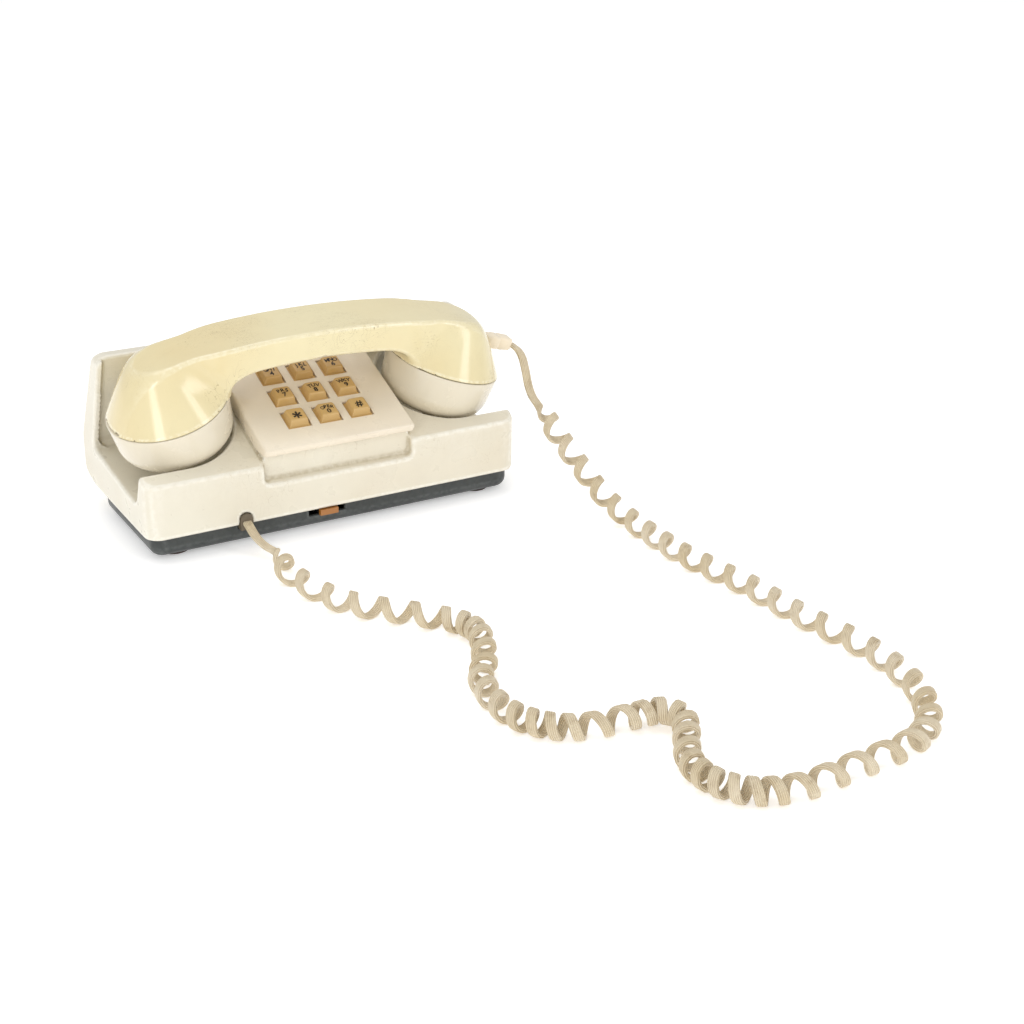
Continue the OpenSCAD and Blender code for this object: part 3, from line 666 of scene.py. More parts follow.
# ---- Setting ----
@dataclass
class Studio:
    """The camera at the user's left, a pale floor and soft lights, all in metres."""

    lens: float = 60.25
    spot: Triple = (-0.3407, -0.8004, 0.3650)
    right: Triple = (0.8637, -0.5038, 0.0147)
    up: Triple = (0.1890, 0.3509, 0.9171)
    back: Triple = (-0.4673, -0.7893, 0.3983)

    def camera(self) -> None:
        """Sets the camera, level with a slight roll, and makes it the scene's own."""
        data = bpy.data.cameras.new("view")
        data.lens, data.sensor_width = self.lens, 36.0
        data.clip_start, data.clip_end = 0.01, 100.0
        made = bpy.data.objects.new("view", data)
        made.matrix_world = placed(self.right, self.up, self.back, self.spot)
        bpy.context.scene.collection.objects.link(made)
        bpy.context.scene.camera = made

    def light(self, name: str, at: Triple, size: Pair, power: float) -> None:
        """One soft box at a point, facing the telephone, size in metres and power in watts."""
        data = bpy.data.lights.new(name, "AREA")
        data.shape, data.energy = "RECTANGLE", power
        data.size, data.size_y = size
        made = bpy.data.objects.new(name, data)
        z = np.array(at) - np.array((0.0, -0.05, 0.05))
        z = z / np.linalg.norm(z)
        x = np.cross((0, 0, 1), z)
        x = x / np.linalg.norm(x)
        made.matrix_world = placed(x, np.cross(z, x), z, at)
        bpy.context.scene.collection.objects.link(made)

    def build(self) -> None:
        """Makes the floor, the sky light and the soft boxes."""
        scene = bpy.context.scene
        scene.view_settings.view_transform = "Standard"
        world = bpy.data.worlds.new("sky")
        scene.world = world
        world.use_nodes = True
        sky = next(n for n in world.node_tree.nodes if n.type == "BACKGROUND")
        sky.inputs[0].default_value, sky.inputs[1].default_value = (1, 1, 1, 1), 0.68
        self.light("soft_box_left", (-1.05, -1.05, 0.62), (0.42, 0.95), 5.2)
        self.light("soft_box_right", (0.85, -1.25, 0.75), (0.42, 0.9), 3.8)
        self.light("soft_box_top", (-0.1, 0.25, 1.5), (1.3, 1.0), 5.8)
        mesh = bpy.data.meshes.new("floor")
        mesh.from_pydata([(-20, -20, 0), (20, -20, 0), (20, 20, 0), (-20, 20, 0)], [], [(0, 1, 2, 3)])
        floor = bpy.data.objects.new("floor", mesh)
        scene.collection.objects.link(floor)
        b = Board("pale_floor")
        b.link(b.ramp(b.noise(3, 2), 0.3, 0.7, 0.68, 0.72), b.shader.inputs["Roughness"])
        b.shader.inputs["Base Color"].default_value = (0.96, 0.96, 0.96, 1)
        b.shader.inputs["Emission Color"].default_value = (1, 1, 1, 1)
        b.shader.inputs["Emission Strength"].default_value = 0.33
        b.shader.inputs["Specular IOR Level"].default_value = 0.1
        mesh.materials.append(b.material)


def placed(x: Triple, y: Triple, z: Triple, at: Triple) -> Matrix:
    """The matrix that sets an object at a point with its axes along x, y and z."""
    return Matrix([(x[i], y[i], z[i], at[i]) for i in range(3)] + [(0, 0, 0, 1)])


# ---- Cord ----
@dataclass
class CurlyCord:
    """The cord: a flat ribbed ribbon, straight at both ends and wound to the right in between."""

    width: float = 4.6
    thick: float = 2.2
    coil: float = 4.8
    pitch: float = 15.5
    closed_by: float = 7.8
    straight: float = 0.014
    tightening: float = 0.018
    first_open: float = 85.0
    first_pitch: float = 20.0
    step: float = 0.56
    route: tuple[Triple, ...] = (
        (-53.3, -52.6, 14.0), (-53.4, -57, 12.8), (-52.6, -62, 9.6), (-50.4, -68, 6.6), (-48, -74, 5.6),
        (-47.4, -80, 6.2), (-49.6, -87, 6), (-51.6, -98, 5.9), (-49.6, -117, 5.9), (-43.9, -138, 5.9),
        (-33.9, -153, 5.9), (-22.4, -165.2, 5.9), (-12.2, -176.5, 5.9), (-6.3, -183.4, 5.9),
        (-2.6, -190, 5.9), (-1.6, -197, 5.9), (-3.2, -205, 5.9), (-8, -215.6, 5.9), (-14, -227, 5.9),
        (-21, -236, 5.9), (-25, -250, 5.9), (-26, -263, 5.9), (-23, -276, 5.9), (-15, -287, 5.9),
        (-4, -293, 5.9), (8, -295, 5.9), (20, -296, 6.1), (30, -299, 6.9), (34, -308, 7.1),
        (29, -318, 6.3), (22, -328, 5.9), (17, -340, 5.9), (18, -353, 5.9), (25, -364, 5.9),
        (37, -370, 5.9), (50, -372, 5.9), (64, -371, 5.9), (80, -370, 5.9), (96, -369, 5.9),
        (110, -366, 5.9), (122, -359, 5.9), (131, -348, 5.9), (138, -335, 5.9), (142, -320, 5.9),
        (144, -304, 5.9), (143, -286, 5.9), (140, -268, 5.9), (138, -252, 5.9), (137, -234, 5.9),
        (136, -218, 5.9), (133, -202, 5.9), (131, -188, 5.9), (129, -172, 5.9), (129, -154, 5.9),
        (129, -137, 6.1), (128, -120, 8.4), (126, -104, 13.6), (124, -88, 22), (122, -73, 31),
        (121, -60, 38.6), (121, -51, 43), (121.4, -45, 45.4), (121.6, -39, 48), (122.6, -33, 52.6),
        (124.4, -27, 58.4), (125.8, -21, 64), (125.4, -17, 67.4), (122.4, -14.0, 70.4))
    coil_from: float = 34.0
    coil_to: float = 52.0
    easing: float = 9.0

    def centreline(self) -> tuple[np.ndarray, np.ndarray]:
        """The axis is a curve through the route; the ribbon's middle goes round it at the coil's radius.

        The turns lie closer together where the axis bends, and their number is a whole one.

        Returns:
            The middle of the ribbon and the direction in which it is thin, at each step.
        """
        dense = smooth_curve(list(self.route), 24)
        run = np.concatenate([[0], np.cumsum(np.linalg.norm(np.diff(dense, axis=0), axis=1))])
        total = run[-1]
        s = np.linspace(0, total, int(total / self.step))
        axis = np.stack([np.interp(s, run, dense[:, i]) for i in range(3)], axis=1)
        even = np.stack([np.convolve(axis[:, i], np.ones(9) / 9, "valid") for i in range(3)], axis=1)
        axis[4:-4] = even
        t = np.gradient(axis, axis=0)
        t /= np.linalg.norm(t, axis=1, keepdims=True)
        up = np.array([0, 0, 1.0]) - t * t[:, 2:3]
        up /= np.linalg.norm(up, axis=1, keepdims=True)
        side = np.cross(t, up)
        first, last = self.coil_from - self.easing, total - self.coil_to + self.easing
        radius = self.coil * eased((s - first) / 12) * eased((last - s) / 12)
        bend = np.linalg.norm(np.gradient(t, axis=0), axis=1) / self.step
        bend = np.convolve(np.pad(bend, 26, "edge"), np.ones(53) / 53, "valid")
        pitch = self.pitch - self.closed_by * np.clip((bend - self.straight) / self.tightening, 0, 1)
        pitch = np.where(s < self.first_open, self.first_pitch, pitch)
        wound = (s > first) & (s < last)
        phase = 2 * math.pi * np.cumsum(np.where(wound, self.step / pitch, 0.0))
        phase *= round(phase[-1] / (2 * math.pi)) * 2 * math.pi / phase[-1]
        out = up * np.cos(phase)[:, None] + side * np.sin(phase)[:, None]
        return axis + radius[:, None] * out, out

    def build(self, finish: bpy.types.Material, sleeve: bpy.types.Object) -> bpy.types.Object:
        middle, out = self.centreline()
        along = np.gradient(middle, axis=0)
        along /= np.linalg.norm(along, axis=1, keepdims=True)
        thin = out - along * np.sum(out * along, axis=1, keepdims=True)
        thin /= np.linalg.norm(thin, axis=1, keepdims=True)
        wide = np.cross(along, thin)
        section = round_ring(self.width / 2, self.thick / 2, 0.8, 4)
        rings = middle[:, None] + section[None, :, :1] * wide[:, None] + section[None, :, 1:] * thin[:, None]
        rings[..., 2] = np.maximum(rings[..., 2], 0.15)
        points, faces = closed_grid(rings)
        made = free_piece("curly_cord_ribbon", points, faces, finish)
        rows, columns = rings.shape[:2]
        edge = np.linalg.norm(np.diff(np.vstack([section, section[:1]]), axis=0), axis=1)
        u = np.concatenate([[0], np.cumsum(edge)]) / edge.sum()
        v = np.concatenate([[0], np.cumsum(np.linalg.norm(np.diff(middle, axis=0), axis=1))]) * MM
        i, j = np.meshgrid(np.arange(rows - 1), np.arange(columns), indexing="ij")
        corners = [np.stack([u[j + dj], v[i + di]], -1) for dj, di in ((0, 0), (1, 0), (1, 1), (0, 1))]
        corner = np.stack(corners, axis=2).reshape(-1, 2)
        layer = made.data.uv_layers.new(name="cord")
        flat = np.zeros((len(made.data.loops), 2), np.float32)
        flat[: len(corner)] = corner
        layer.data.foreach_set("uv", flat.ravel())
        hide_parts("base_cord_tail", "curly_cord", "handset_cord_tail")
        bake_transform(made)
        return made


def eased(u: np.ndarray) -> np.ndarray:
    """A smooth rise from 0 to 1 as u goes from 0 to 1, held at both ends."""
    share = np.clip(u, 0, 1)
    return share**2 * (3 - 2 * share)


def free_piece(name: str, points: np.ndarray, faces: list, finish: bpy.types.Material) -> bpy.types.Object:
    """A mesh object at the origin that blends between bodies, and so rides on none."""
    mesh = bpy.data.meshes.new(name)
    mesh.from_pydata((points * MM).tolist(), [], faces)
    mesh.shade_smooth()
    mesh.materials.append(finish)
    made = bpy.data.objects.new(name, mesh)
    bpy.context.scene.collection.objects.link(made)
    return made


# ---- Body ----
@dataclass
class Shell:
    """The body's one moulding: a wedge with a leaning back wall, and a cradle open to each side."""

    width: float = 209.6
    depth: float = 107.0
    base_h: float = 12.5
    back_h: float = 90.0
    top_m: float = 38.0
    back_s: float = 91.0
    lean: float = math.radians(28)
    rear_z: float = 27.0
    foot_d: float = 82.0
    wall: float = 2.4
    well_in: float = 44.2
    well_r: float = 35.0
    well_s0: float = 26.4
    panel_s: float = 94.0
    rim: float = 3.6
    floor_z: float = 25.0
    floor_tilt: float = math.radians(6.7)

    def outline(self, i: float, bottom: float) -> list[tuple[float, float]]:
        """The side view drawn in by i: front wall, cradle plane, back wall, rear face and lower bend."""
        c, s = math.cos(TILT), math.sin(TILT)
        m, bs, top = self.top_m - i, self.back_s + i, self.back_h - i
        draft = 0.9
        rear = self.depth - (top - self.rear_z) * math.tan(self.lean) - i / math.cos(self.lean)
        out, down = self.depth - self.foot_d - i, self.rear_z - self.base_h - i
        bend = [(self.foot_d + out * math.cos(a), self.rear_z - down * math.sin(a))
                for a in np.radians(np.arange(0, 89, 11))]
        return [(i, bottom), (i + draft, (m + (i + draft) * s) / c), (bs * c - m * s, bs * s + m * c),
                ((bs - top * s) / c, top), (rear, top), *bend, (self.foot_d, bottom)]

    def wedge(self, x: np.ndarray, d: np.ndarray, z: np.ndarray, i: float, r: float,
              bottom: float) -> np.ndarray:
        """The side view carried across the width, cut to the plan's round corners and the wall's round ends.

        Args:
            x, d, z: where the field is wanted.
            i: how far the whole shape is drawn in.
            r: radius of its edges.
            bottom: height of its open underside.
        Returns:
            The distance, negative inside.
        """
        side = outline_field(d, z, self.outline(i + r, bottom + (r if i == 0 else 0))) - r
        plan = box_field(x, d, (-self.width / 2 + i, i), (self.width / 2 - i, self.depth - i), 9 - i)
        ends = box_field(x, z, (-self.width / 2 + i, -60), (self.width / 2 - i, self.back_h - i), 7.5 - i)
        return meet_round(meet_round(side, plan, r), ends, 1.2)

    def well(self, x: np.ndarray, d: np.ndarray, z: np.ndarray) -> np.ndarray:
        """An open cradle: a half-round trough over a sloping floor, with a panel sunk into the back wall."""
        a = np.abs(x)
        s = d * math.cos(TILT) + z * math.sin(TILT)
        cx, cs = self.well_in + self.well_r, self.well_s0 + self.well_r
        trough = np.hypot(np.maximum(cx - a, 0), np.maximum(cs - s, 0)) - self.well_r
        inner = np.hypot(np.maximum(cx - a, 0), cs - s) - self.well_r
        trough = np.where(s > cs, np.where(a > cx, -self.well_r, inner), trough)
        edge = self.width / 2 - self.rim
        back = np.minimum(np.maximum(a - edge, s - self.panel_s), s - self.back_s)
        floor = (self.floor_z + d * math.tan(self.floor_tilt) - z) * math.cos(self.floor_tilt)
        return meet_round(meet_round(trough, back, 3.0), floor, 5.0)

    def field(self, x: np.ndarray, y: np.ndarray, z: np.ndarray) -> np.ndarray:
        """The whole moulding: the wedge, less cradles, recess and openings, hollowed to its wall."""
        d = y - FRONT_Y
        s = d * math.cos(TILT) + z * math.sin(TILT)
        m = -d * math.sin(TILT) + z * math.cos(TILT)
        a = np.abs(x)
        well = self.well(x, d, z)
        recess = meet_round(box_field(x, z - 0.4 * np.maximum(d, 0), (-42, 31), (41, 90), 3.0), d - 5.0, 1.5)
        form = self.wedge(x, d, z, 0.0, 2.0, self.base_h)
        form = cut_round(form, np.maximum(a - 42.3, self.top_m - m), 0.5)
        form = cut_round(form, recess, 1.2)
        sill = outline_field(d, z, [(5, 34), (5, 46), (8.2, 46), (11.7, 45.7), (15.5, 36)])
        form = np.minimum(form, np.maximum(sill, a - 41))
        form = cut_round(form, well, 1.8)
        inner = self.wedge(x, d, z, self.wall, 0.6, 0.0)
        seat = np.maximum(a - 44.7, self.top_m - self.wall - m)
        keep = np.minimum(np.minimum(well, recess) - self.wall, seat)
        form = np.maximum(form, -np.maximum(inner, -keep))
        posts = np.minimum(*[np.hypot(a - bx, d - bd) for bx, bd in SCREWS])
        limit = self.wedge(x, d, z, self.wall / 2, 0.6, 0.0)
        post = np.maximum(np.maximum(posts - 4.0, 8.0 - z), np.maximum(limit, 1.2 - well))
        form = np.minimum(form, post)
        bore = np.maximum(posts - 1.5, z - 22)
        key_bay = np.maximum(a - 34, np.maximum(30.6 - s, s - 96.7))
        key_bay = np.maximum(key_bay, 8 - m)
        below = np.maximum(np.abs(x - EXIT_X) - 3.4, z - 15.6)
        notch = np.maximum(np.minimum(np.hypot(x - EXIT_X, z - 15.6) - 3.4, below), d - 5)
        pin = np.maximum(np.hypot(a - 71.36, d - 41.03) - 3.7, 16 - z)
        for hole in (bore, key_bay, pin):
            form = np.maximum(form, -hole)
        return cut_round(form, notch, 0.4)

    def build(self, finish: bpy.types.Material) -> None:
        """Makes the moulding's skin."""
        skin = Skin(self.field, (-105, FRONT_Y, 10), (105, FRONT_Y + 108, 91), 1.15)
        points, faces, normals, bend = skin.mesh()
        Piece("shell_moulding", "body", "ivory_shell", ("shell",)).make(points, faces, finish, normals, bend)


@dataclass
class Base:
    """The dark tray under the shell, with a round lower edge, screw wells and its feet."""

    half: float = 101.6
    front: float = 3.2
    rear: float = 80.0
    height: float = 16.0

    def field(self, x: np.ndarray, y: np.ndarray, z: np.ndarray) -> np.ndarray:
        """A rounded tray less its slots for cord, lever and line socket, with posts for the screws."""
        d = y - FRONT_Y
        plan = box_field(x, d, (-self.half, self.front), (self.half, self.rear), 6.8)
        form = np.maximum(meet_round(plan, 2 - z, 5.5), z - self.height)
        form = np.maximum(form, -meet_round(plan + 2, 4 - z, 3.5))
        posts = np.minimum(*[np.hypot(np.abs(x) - bx, d - bd) for bx, bd in SCREWS])
        form = np.minimum(form, np.maximum(posts - 4.0, np.maximum(2 - z, z - 8)))
        form = np.maximum(form, -np.minimum(posts - 1.7, np.maximum(posts - 3.4, z - 5)))
        slots = (np.maximum(np.maximum(np.abs(x - EXIT_X) - 3.4, 10.2 - z), d - 11),
                 np.maximum(np.maximum(np.abs(x + 7.7) - 10, np.maximum(8.7 - z, z - 12.5)), d - 11),
                 np.maximum(np.maximum(np.abs(x - 75) - 7, np.maximum(5 - z, z - 13)), 76 - d))
        for slot in slots:
            form = np.maximum(form, -slot)
        return form

    def build(self, finishes: Finishes) -> None:
        """Makes the tray and four feet with soft rims."""
        skin = Skin(self.field, (-102, FRONT_Y + 3, 1.5), (102, FRONT_Y + 81, 17), 1.0)
        points, faces, normals, bend = skin.mesh()
        tray = Piece("base_tray", "body", "dark_base", ("base_pan",))
        tray.make(points, faces, finishes.base, normals, bend)
        profile = [(0.5, 2.0), (7.6, 2.0), (8.0, 1.6), *arc(7.2, 0.8, 0.8, 0, -90, 5), (5.6, 0.0),
                   (5.2, 0.3), (0.5, 0.3)]
        one, faces_one = lathe(profile[::-1], 40)
        points, faces = [], []
        for x in (-86.5, 86.5):
            for d in (17.0, 66.0):
                faces += [[v + len(points) * len(one) for v in f] for f in faces_one]
                points.append(one + np.array((x, FRONT_Y + d, 0)))
        feet = Piece("feet", "body", "foot_rubber", ("rubber_feet",))
        feet.make(np.vstack(points), faces, finishes.foot, recalculate=True)


# ---- Keys ----
class Row(Enum):
    """The rows of keys, from the front."""

    FRONT = 0
    THIRD = 1
    SECOND = 2
    REAR = 3


@dataclass
class KeyBlock:
    """The raised block with its windows, and the twelve keys with their marks."""

    half: float = 42.0
    top_m: float = 47.2
    pitch: float = 17.5
    first_s: float = 37.2
    window: float = 13.1

    def block(self, finish: bpy.types.Material) -> None:
        """A side view carried across the width, softened, then hollowed and pierced by the windows."""
        seat_m, rear_s = 38.0, 102.0
        top = on_slope([(0, 17.4, self.top_m), (0, 28, seat_m), (0, rear_s, seat_m), (0, rear_s, self.top_m)])
        front = np.array([(0, 0.6 + FRONT_Y, 46), (0, 8.2 + FRONT_Y, 46)])
        outline = np.vstack([top[:1], front, top[1:]])
        n = len(outline)
        left, right = outline - (self.half, 0, 0), outline + (self.half, 0, 0)
        sides = [[i + n, (i + 1) % n + n, (i + 1) % n, i] for i in range(n)]
        faces = [list(range(n)), list(range(2 * n - 1, n - 1, -1)), *sides]
        piece = Piece("key_block", "body", "ivory_shell", ("faceplate",))
        made = piece.make(np.vstack([left, right]), faces, finish, recalculate=True)
        edges = made.modifiers.new("first", "BEVEL")
        edges.width, edges.segments, edges.limit_method = 1.5 * MM, 4, "ANGLE"
        bake_modifiers(made)
        carve(made, [slope_box((-39.8, 28.1, 30), (39.8, 99.8, 45.0))])
        half = self.window / 2
        places = [(column * self.pitch, self.first_s + row.value * self.pitch)
                  for column in (-1, 0, 1) for row in Row]
        carve(made, [slope_box((x - half, s - half, 40), (x + half, s + half, 60)) for x, s in places])
        made.data.shade_smooth()
        soften(made, 0.22, 2)

    def key(self, name: str, column: int, row: Row, finishes: Finishes) -> None:
        """One key: a stem, a flange and a tapered head with a dished top, as a stack of rounded squares."""
        sizes = [(33.5, 3.4, 0.4, 0), (33.6, 3.5, 0.4, 0), (43.9, 3.5, 0.4, 0), (44.0, 7.3, 0.6, 0),
                 (44.6, 7.35, 0.6, 0), (44.62, 6.15, 0.7, 0), (46.3, 6.1, 0.7, 0), (46.5, 5.95, 0.7, 0),
                 (46.52, 5.5, 0.9, 0.02), (48.6, 4.98, 1.0, 0.15), (49.7, 4.74, 1.05, 0.2),
                 (50.2, 4.56, 1.15, 0.22), (50.5, 4.32, 1.15, 0.24), (50.62, 4.0, 1.1, 0.25),
                 (50.6, 3.3, 0.9, 0.25), (50.5, 2.0, 0.6, 0.25), (50.47, 0.8, 0.3, 0.25)]
        cx, cs = column * self.pitch, self.first_s + row.value * self.pitch
        rings = [np.column_stack([round_ring(h, h, r, 6) + (cx, cs + shift), np.full(24, m)])
                 for m, h, r, shift in sizes]
        points, faces = closed_grid(np.stack(rings))
        made = Piece(f"{name}_cap", name, "key_tan", (name,)).make(on_slope(points), faces, finishes.key)
        soften(made, 0.1, 1)

    def marks(self, name: str, digit: str, letters: str, column: int, row: Row,
              finish: bpy.types.Material) -> None:
        """The key's digit with its letters in a shallow arc above it, as thin raised plates."""
        plates, faces = [], []
        size = {"*": 11.0, "#": 6.4}.get(digit, 4.5)
        drop = {"*": -2.4, "#": 0.2}.get(digit, -1.35 if letters else 0.0)
        glyphs = [(digit, size, 0.0, drop, 0.0)]
        spread, small = (1.75, 3.1) if len(letters) == 4 else (2.3, 3.5)
        for i, letter in enumerate(letters):
            u = i - (len(letters) - 1) / 2
            glyphs.append((letter, small, u * spread, 2.25 - 0.2 * u * u * spread, -u * 0.16))
        at = np.array((column * self.pitch, self.first_s + row.value * self.pitch - 0.35, 50.56))
        count = 0
        for text, height, dx, dy, turn in glyphs:
            flat, polygons = glyph_plate(text, height)
            c, s = math.cos(turn), math.sin(turn)
            turned = flat @ np.array(((c, s, 0), (-s, c, 0), (0, 0, 1)))
            plates.append(turned + (dx, dy, 0) + at)
            faces += [[v + count for v in f] for f in polygons]
            count += len(flat)
        piece = Piece(f"{name}_marks", name, "key_tan")
        piece.make(on_slope(np.vstack(plates)), faces, finish, smooth=False)

    def build(self, finishes: Finishes) -> None:
        """Makes the block, the keys and their marks."""
        self.block(finishes.plate)
        layout = {
            Row.REAR: (("key_1", "1", ""), ("key_2", "2", "ABC"), ("key_3", "3", "DEF")),
            Row.SECOND: (("key_4", "4", "GHI"), ("key_5", "5", "JKL"), ("key_6", "6", "MNO")),
            Row.THIRD: (("key_7", "7", "PRS"), ("key_8", "8", "TUV"), ("key_9", "9", "WXY")),
            Row.FRONT: (("key_star", "*", ""), ("key_0", "0", "OPER"), ("key_hash", "#", "")),
        }
        for row, keys in layout.items():
            for column, (name, digit, letters) in enumerate(keys, start=-1):
                self.key(name, column, row, finishes)
                self.marks(name, digit, letters, column, row, finishes.ink)


def glyph_plate(text: str, height: float) -> Solid:
    """A letter or digit as a thin plate, centred, height in millimetres of its full line."""
    curve = bpy.data.curves.new("glyph", "FONT")
    curve.body, curve.size, curve.align_x, curve.align_y = text, height, "CENTER", "CENTER"
    curve.offset, curve.extrude, curve.resolution_u = 0.016 * height, 0.09, 3
    made = bpy.data.objects.new("glyph", curve)
    bpy.context.scene.collection.objects.link(made)
    bpy.context.view_layer.update()
    mesh = bpy.data.meshes.new_from_object(made.evaluated_get(bpy.context.evaluated_depsgraph_get()))
    flat = np.zeros(len(mesh.vertices) * 3)
    mesh.vertices.foreach_get("co", flat)
    polygons = [list(p.vertices) for p in mesh.polygons]
    bpy.data.objects.remove(made)
    bpy.data.meshes.remove(mesh)
    return flat.reshape(-1, 3), polygons


def slope_box(lo: Triple, hi: Triple) -> Solid:
    """A box along the key block's slope."""
    corners = np.array([[x, s, m] for x in (lo[0], hi[0]) for s in (lo[1], hi[1]) for m in (lo[2], hi[2])])
    faces = [[0, 1, 3, 2], [4, 6, 7, 5], [0, 4, 5, 1], [2, 3, 7, 6], [0, 2, 6, 4], [1, 5, 7, 3]]
    return on_slope(corners), faces


# ---- Handset ----
@dataclass
class Handset:
    """The handle with its two housings, the round caps below them and the cord's sleeve."""

    grip_half: float = 16.3
    grip_under: float = 20.6
    taper: float = 0.6
    rise: float = 0.35
    crown: tuple[Pair, ...] = (
        (0, 36.4), (24, 35.8), (47, 34.0), (64, 31.5), (78, 28.7), (88, 25.9), (95.4, 22.8), (101, 18.2),
        (105, 12.5), (108, 6.5), (110.2, 0), (111.4, -6), (112, -14))

    def field(self, x: np.ndarray, v: np.ndarray, n: np.ndarray) -> np.ndarray:
        """The handle and the tapered housings, filleted together under a crowned top, cut at the rims."""
        crown = smooth_curve([(-a, n) for a, n in self.crown[:0:-1]] + list(self.crown), 4)
        top = outline_field(x, n, np.vstack([crown, [(109.4, -60), (-109.4, -60)]]))
        a = np.abs(x)
        crease = 1.8 + 5.0 * np.clip((a - 70) / 30, 0, 1) ** 2
        half = self.grip_half - 0.0062 * np.maximum(a - 48, 0) ** 2
        under = self.grip_under - 0.0016 * a * a - 0.02 * np.maximum(a - 36, 0) ** 2
        grip = meet_round(np.abs(v) - half, (under - n) * 0.9, 2.4)
        grip = np.maximum(grip, a - CAP_X)
        c, s = math.cos(CAP_LEAN), math.sin(CAP_LEAN)
        along = (a - CAP_X) * c - n * s
        height = (a - CAP_X) * s + n * c
        radius = np.hypot(along, v)
        housing = (radius - CAP_R + self.taper * np.maximum(height, 0)) * 0.86
        form = union_round(grip, housing, 9.0)
        form = meet_round(form, top, crease)
        form = np.maximum(form, self.rise - height)
        cup = np.maximum((radius - 27.6 + self.taper * np.maximum(height, 0)) * 0.86, height - 11)
        duct = np.maximum(np.maximum(a - 68, np.abs(v) - 8), np.maximum(23.5 - n, n - 28))
        shaft = np.maximum(np.maximum(np.abs(a - 65) - 3, np.abs(v) - 5), np.maximum(9 - n, n - 24.5))
        for hollow in (cup, duct, shaft):
            form = np.maximum(form, -hollow)
        return form

    def shell(self, finish: bpy.types.Material) -> None:
        """Makes the cream moulding's skin in its own frame and sets it on its rest."""
        skin = Skin(self.field, (-111, -33, -10), (111, 33, 37.5), 0.95)
        points, faces, normals, bend = skin.mesh()
        points, normals, bend = self.true_rim(points, normals, bend)
        turned = on_handset(normals) - np.array((0, REST_Y, REST_Z))
        piece = Piece("handset_moulding", "handset", "cream_handset", ("handset_shell",))
        piece.make(on_handset(points), faces, finish, turned, bend)

    def true_rim(self, points: np.ndarray, normals: np.ndarray,
                 bend: np.ndarray) -> tuple[np.ndarray, np.ndarray, np.ndarray]:
        """Moves the points beside each housing's rim onto the rim's own circle, facing outwards.

        Args:
            points, normals, bend: what the skin gave at each point.
        Returns:
            The same three, changed only beside the rims.
        """
        x, v, n = points.T
        c, s = math.cos(CAP_LEAN), math.sin(CAP_LEAN)
        along = (np.abs(x) - CAP_X) * c - n * s
        height = (np.abs(x) - CAP_X) * s + n * c
        radius = np.maximum(np.hypot(along, v), 1e-6)
        rim = CAP_R - self.taper * self.rise
        near = (np.abs(height - self.rise) < 0.75) & (np.abs(radius - rim) < 0.9)
        grow = rim / radius
        moved = leant(np.sign(x), along * grow, v * grow, np.full(len(x), self.rise), CAP_X)
        facing = leant(np.sign(x), along / radius * 0.86, v / radius * 0.86, np.full(len(x), 0.5), 0.0)
        low = near[:, None]
        return (np.where(low, moved, points), np.where(low, facing, normals),
                np.where(near, np.median(bend), bend))

    def cap(self, name: str, side: int, finish: bpy.types.Material) -> None:
        """A cup turned about its axis, with a round lower edge, pierced by rings of small holes."""
        profile = [(0.6, -26.0), (9, -26.0), (17.0, -25.9), *arc(17.4, -13.2, 12.8, -84, -5, 16),
                   (30.6, -9), (31.1, -4), (31.4, -1.0), *arc(31.0, -0.65, 0.4, 0, 90, 4), (30.2, -0.25),
                   (28.6, -0.3), (28.2, -12.5), *arc(17.2, -12.6, 10.9, 0, -80, 9), (9, -23.5), (0.6, -23.5)]
        points, faces = lathe(profile, 128)
        piece = Piece(f"{name}_cup", "handset", "ivory_cap", (name,))
        made = piece.make(on_cap(points, side), faces, finish, recalculate=True)
        holes, hole_faces = [], []
        rod, rod_faces = lathe([(0.3, -28), (1.15, -28), (1.15, -21), (0.3, -21)], 16)
        for ring, count in enumerate((1, 6, 12)):
            for w in np.arange(count) * 2 * math.pi / count:
                hole_faces += [[v + len(holes) * len(rod) for v in f] for f in rod_faces]
                holes.append(rod + (6.5 * ring * math.cos(w), 6.5 * ring * math.sin(w), 0))
        carve(made, [(on_cap(np.vstack(holes), side), hole_faces)])
        made.data.shade_smooth()
        sharp = made.modifiers.new("crisp", "EDGE_SPLIT")
        sharp.split_angle = math.radians(40)

    def sleeve(self, finish: bpy.types.Material) -> bpy.types.Object:
        """The cord's sleeve: a stack of rounded rectangles with two shallow grooves, leaning down."""
        stations = [(-4.3, 3.9, 3.5), (-0.2, 3.9, 3.5), (0.3, 4.1, 3.7), (3.2, 4.1, 3.7), (3.6, 3.8, 3.45),
                    (4.4, 3.8, 3.45), (4.8, 4.1, 3.7), (11.2, 3.9, 3.5), (12.2, 3.5, 3.1), (12.6, 2.6, 2.4)]
        at, c, s = np.array((109.6, 3.6, 4.6)), math.cos(math.radians(16)), math.sin(math.radians(16))
        rings = []
        for u, half_v, half_n in stations:
            v, n = round_ring(half_v, half_n, 1.3, 5).T
            rings.append(np.column_stack([u * c + n * s, v, n * c - u * s]) + at)
        points, faces = closed_grid(np.stack(rings))
        piece = Piece("cord_sleeve", "handset", "relief_plastic", ("handset_relief",))
        return piece.make(on_handset(points), faces, finish, recalculate=True)

    def build(self, finishes: Finishes) -> None:
        """Makes the moulding and both caps."""
        self.shell(finishes.cream)
        self.cap("receiver_cap", -1, finishes.cap)
        self.cap("transmitter_cap", 1, finishes.cap)


def leant(side: np.ndarray, along: np.ndarray, v: np.ndarray, height: np.ndarray, at: float) -> np.ndarray:
    """Places given in a leaning cap's own frame, set in the handset's at that distance from its middle."""
    c, s = math.cos(CAP_LEAN), math.sin(CAP_LEAN)
    return np.column_stack([side * (at + along * c + height * s), v, height * c - along * s])


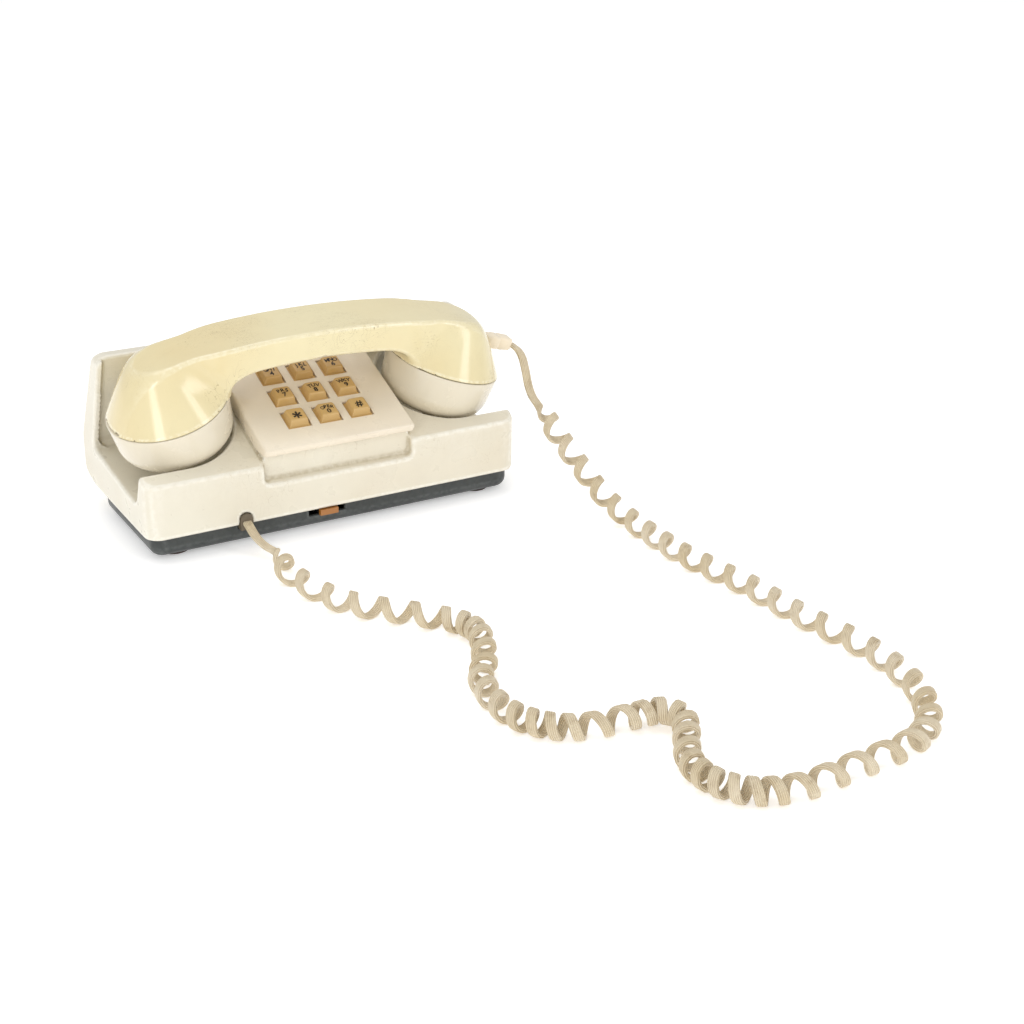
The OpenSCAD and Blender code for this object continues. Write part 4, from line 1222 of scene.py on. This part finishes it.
def dress_nodes(finishes: Finishes) -> None:
    """Gives the CAD nodes that show, or that lie inside, the finish of what they are made of."""
    plain = {
        "shell_screws": finishes.steel, "keypad_frame": finishes.frame, "keypad_contacts": finishes.brass,
        "keypad_board": finishes.board, "hook_bar": finishes.cap, "hook_plungers": finishes.cap,
        "hook_spring": finishes.steel, "hook_switch": finishes.dark, "speech_network": finishes.dark,
        "terminal_strip": finishes.frame, "terminal_screws": finishes.brass, "ringer_frame": finishes.steel,
        "ringer_coil": finishes.winding, "gong_low": finishes.brass, "gong_high": finishes.brass,
        "clapper": finishes.steel, "volume_lever": finishes.amber, "lever_pin": finishes.steel,
        "cord_gland": finishes.gland, "line_inlet": finishes.dark, "receiver_capsule": finishes.pressed,
        "transmitter_capsule": finishes.pressed, "transmitter_cup": finishes.dark,
        "handset_lead": finishes.lead,
    }
    for name, finish in plain.items():
        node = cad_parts[name]
        node.data.materials.clear()
        node.data.materials.append(finish)


def main() -> None:
    """Builds the camera and the cord first, then the body, the keys and the handset."""
    logging.basicConfig(level=logging.INFO, format="%(name)s %(message)s")
    studio = Studio()
    studio.camera()
    finishes = Finishes()
    handset = Handset()
    CurlyCord().build(finishes.cord, handset.sleeve(finishes.relief))
    studio.build()
    Shell().build(finishes.shell)
    Base().build(finishes)
    KeyBlock().build(finishes)
    handset.build(finishes)
    dress_nodes(finishes)


if __name__ == "__main__":
    main()
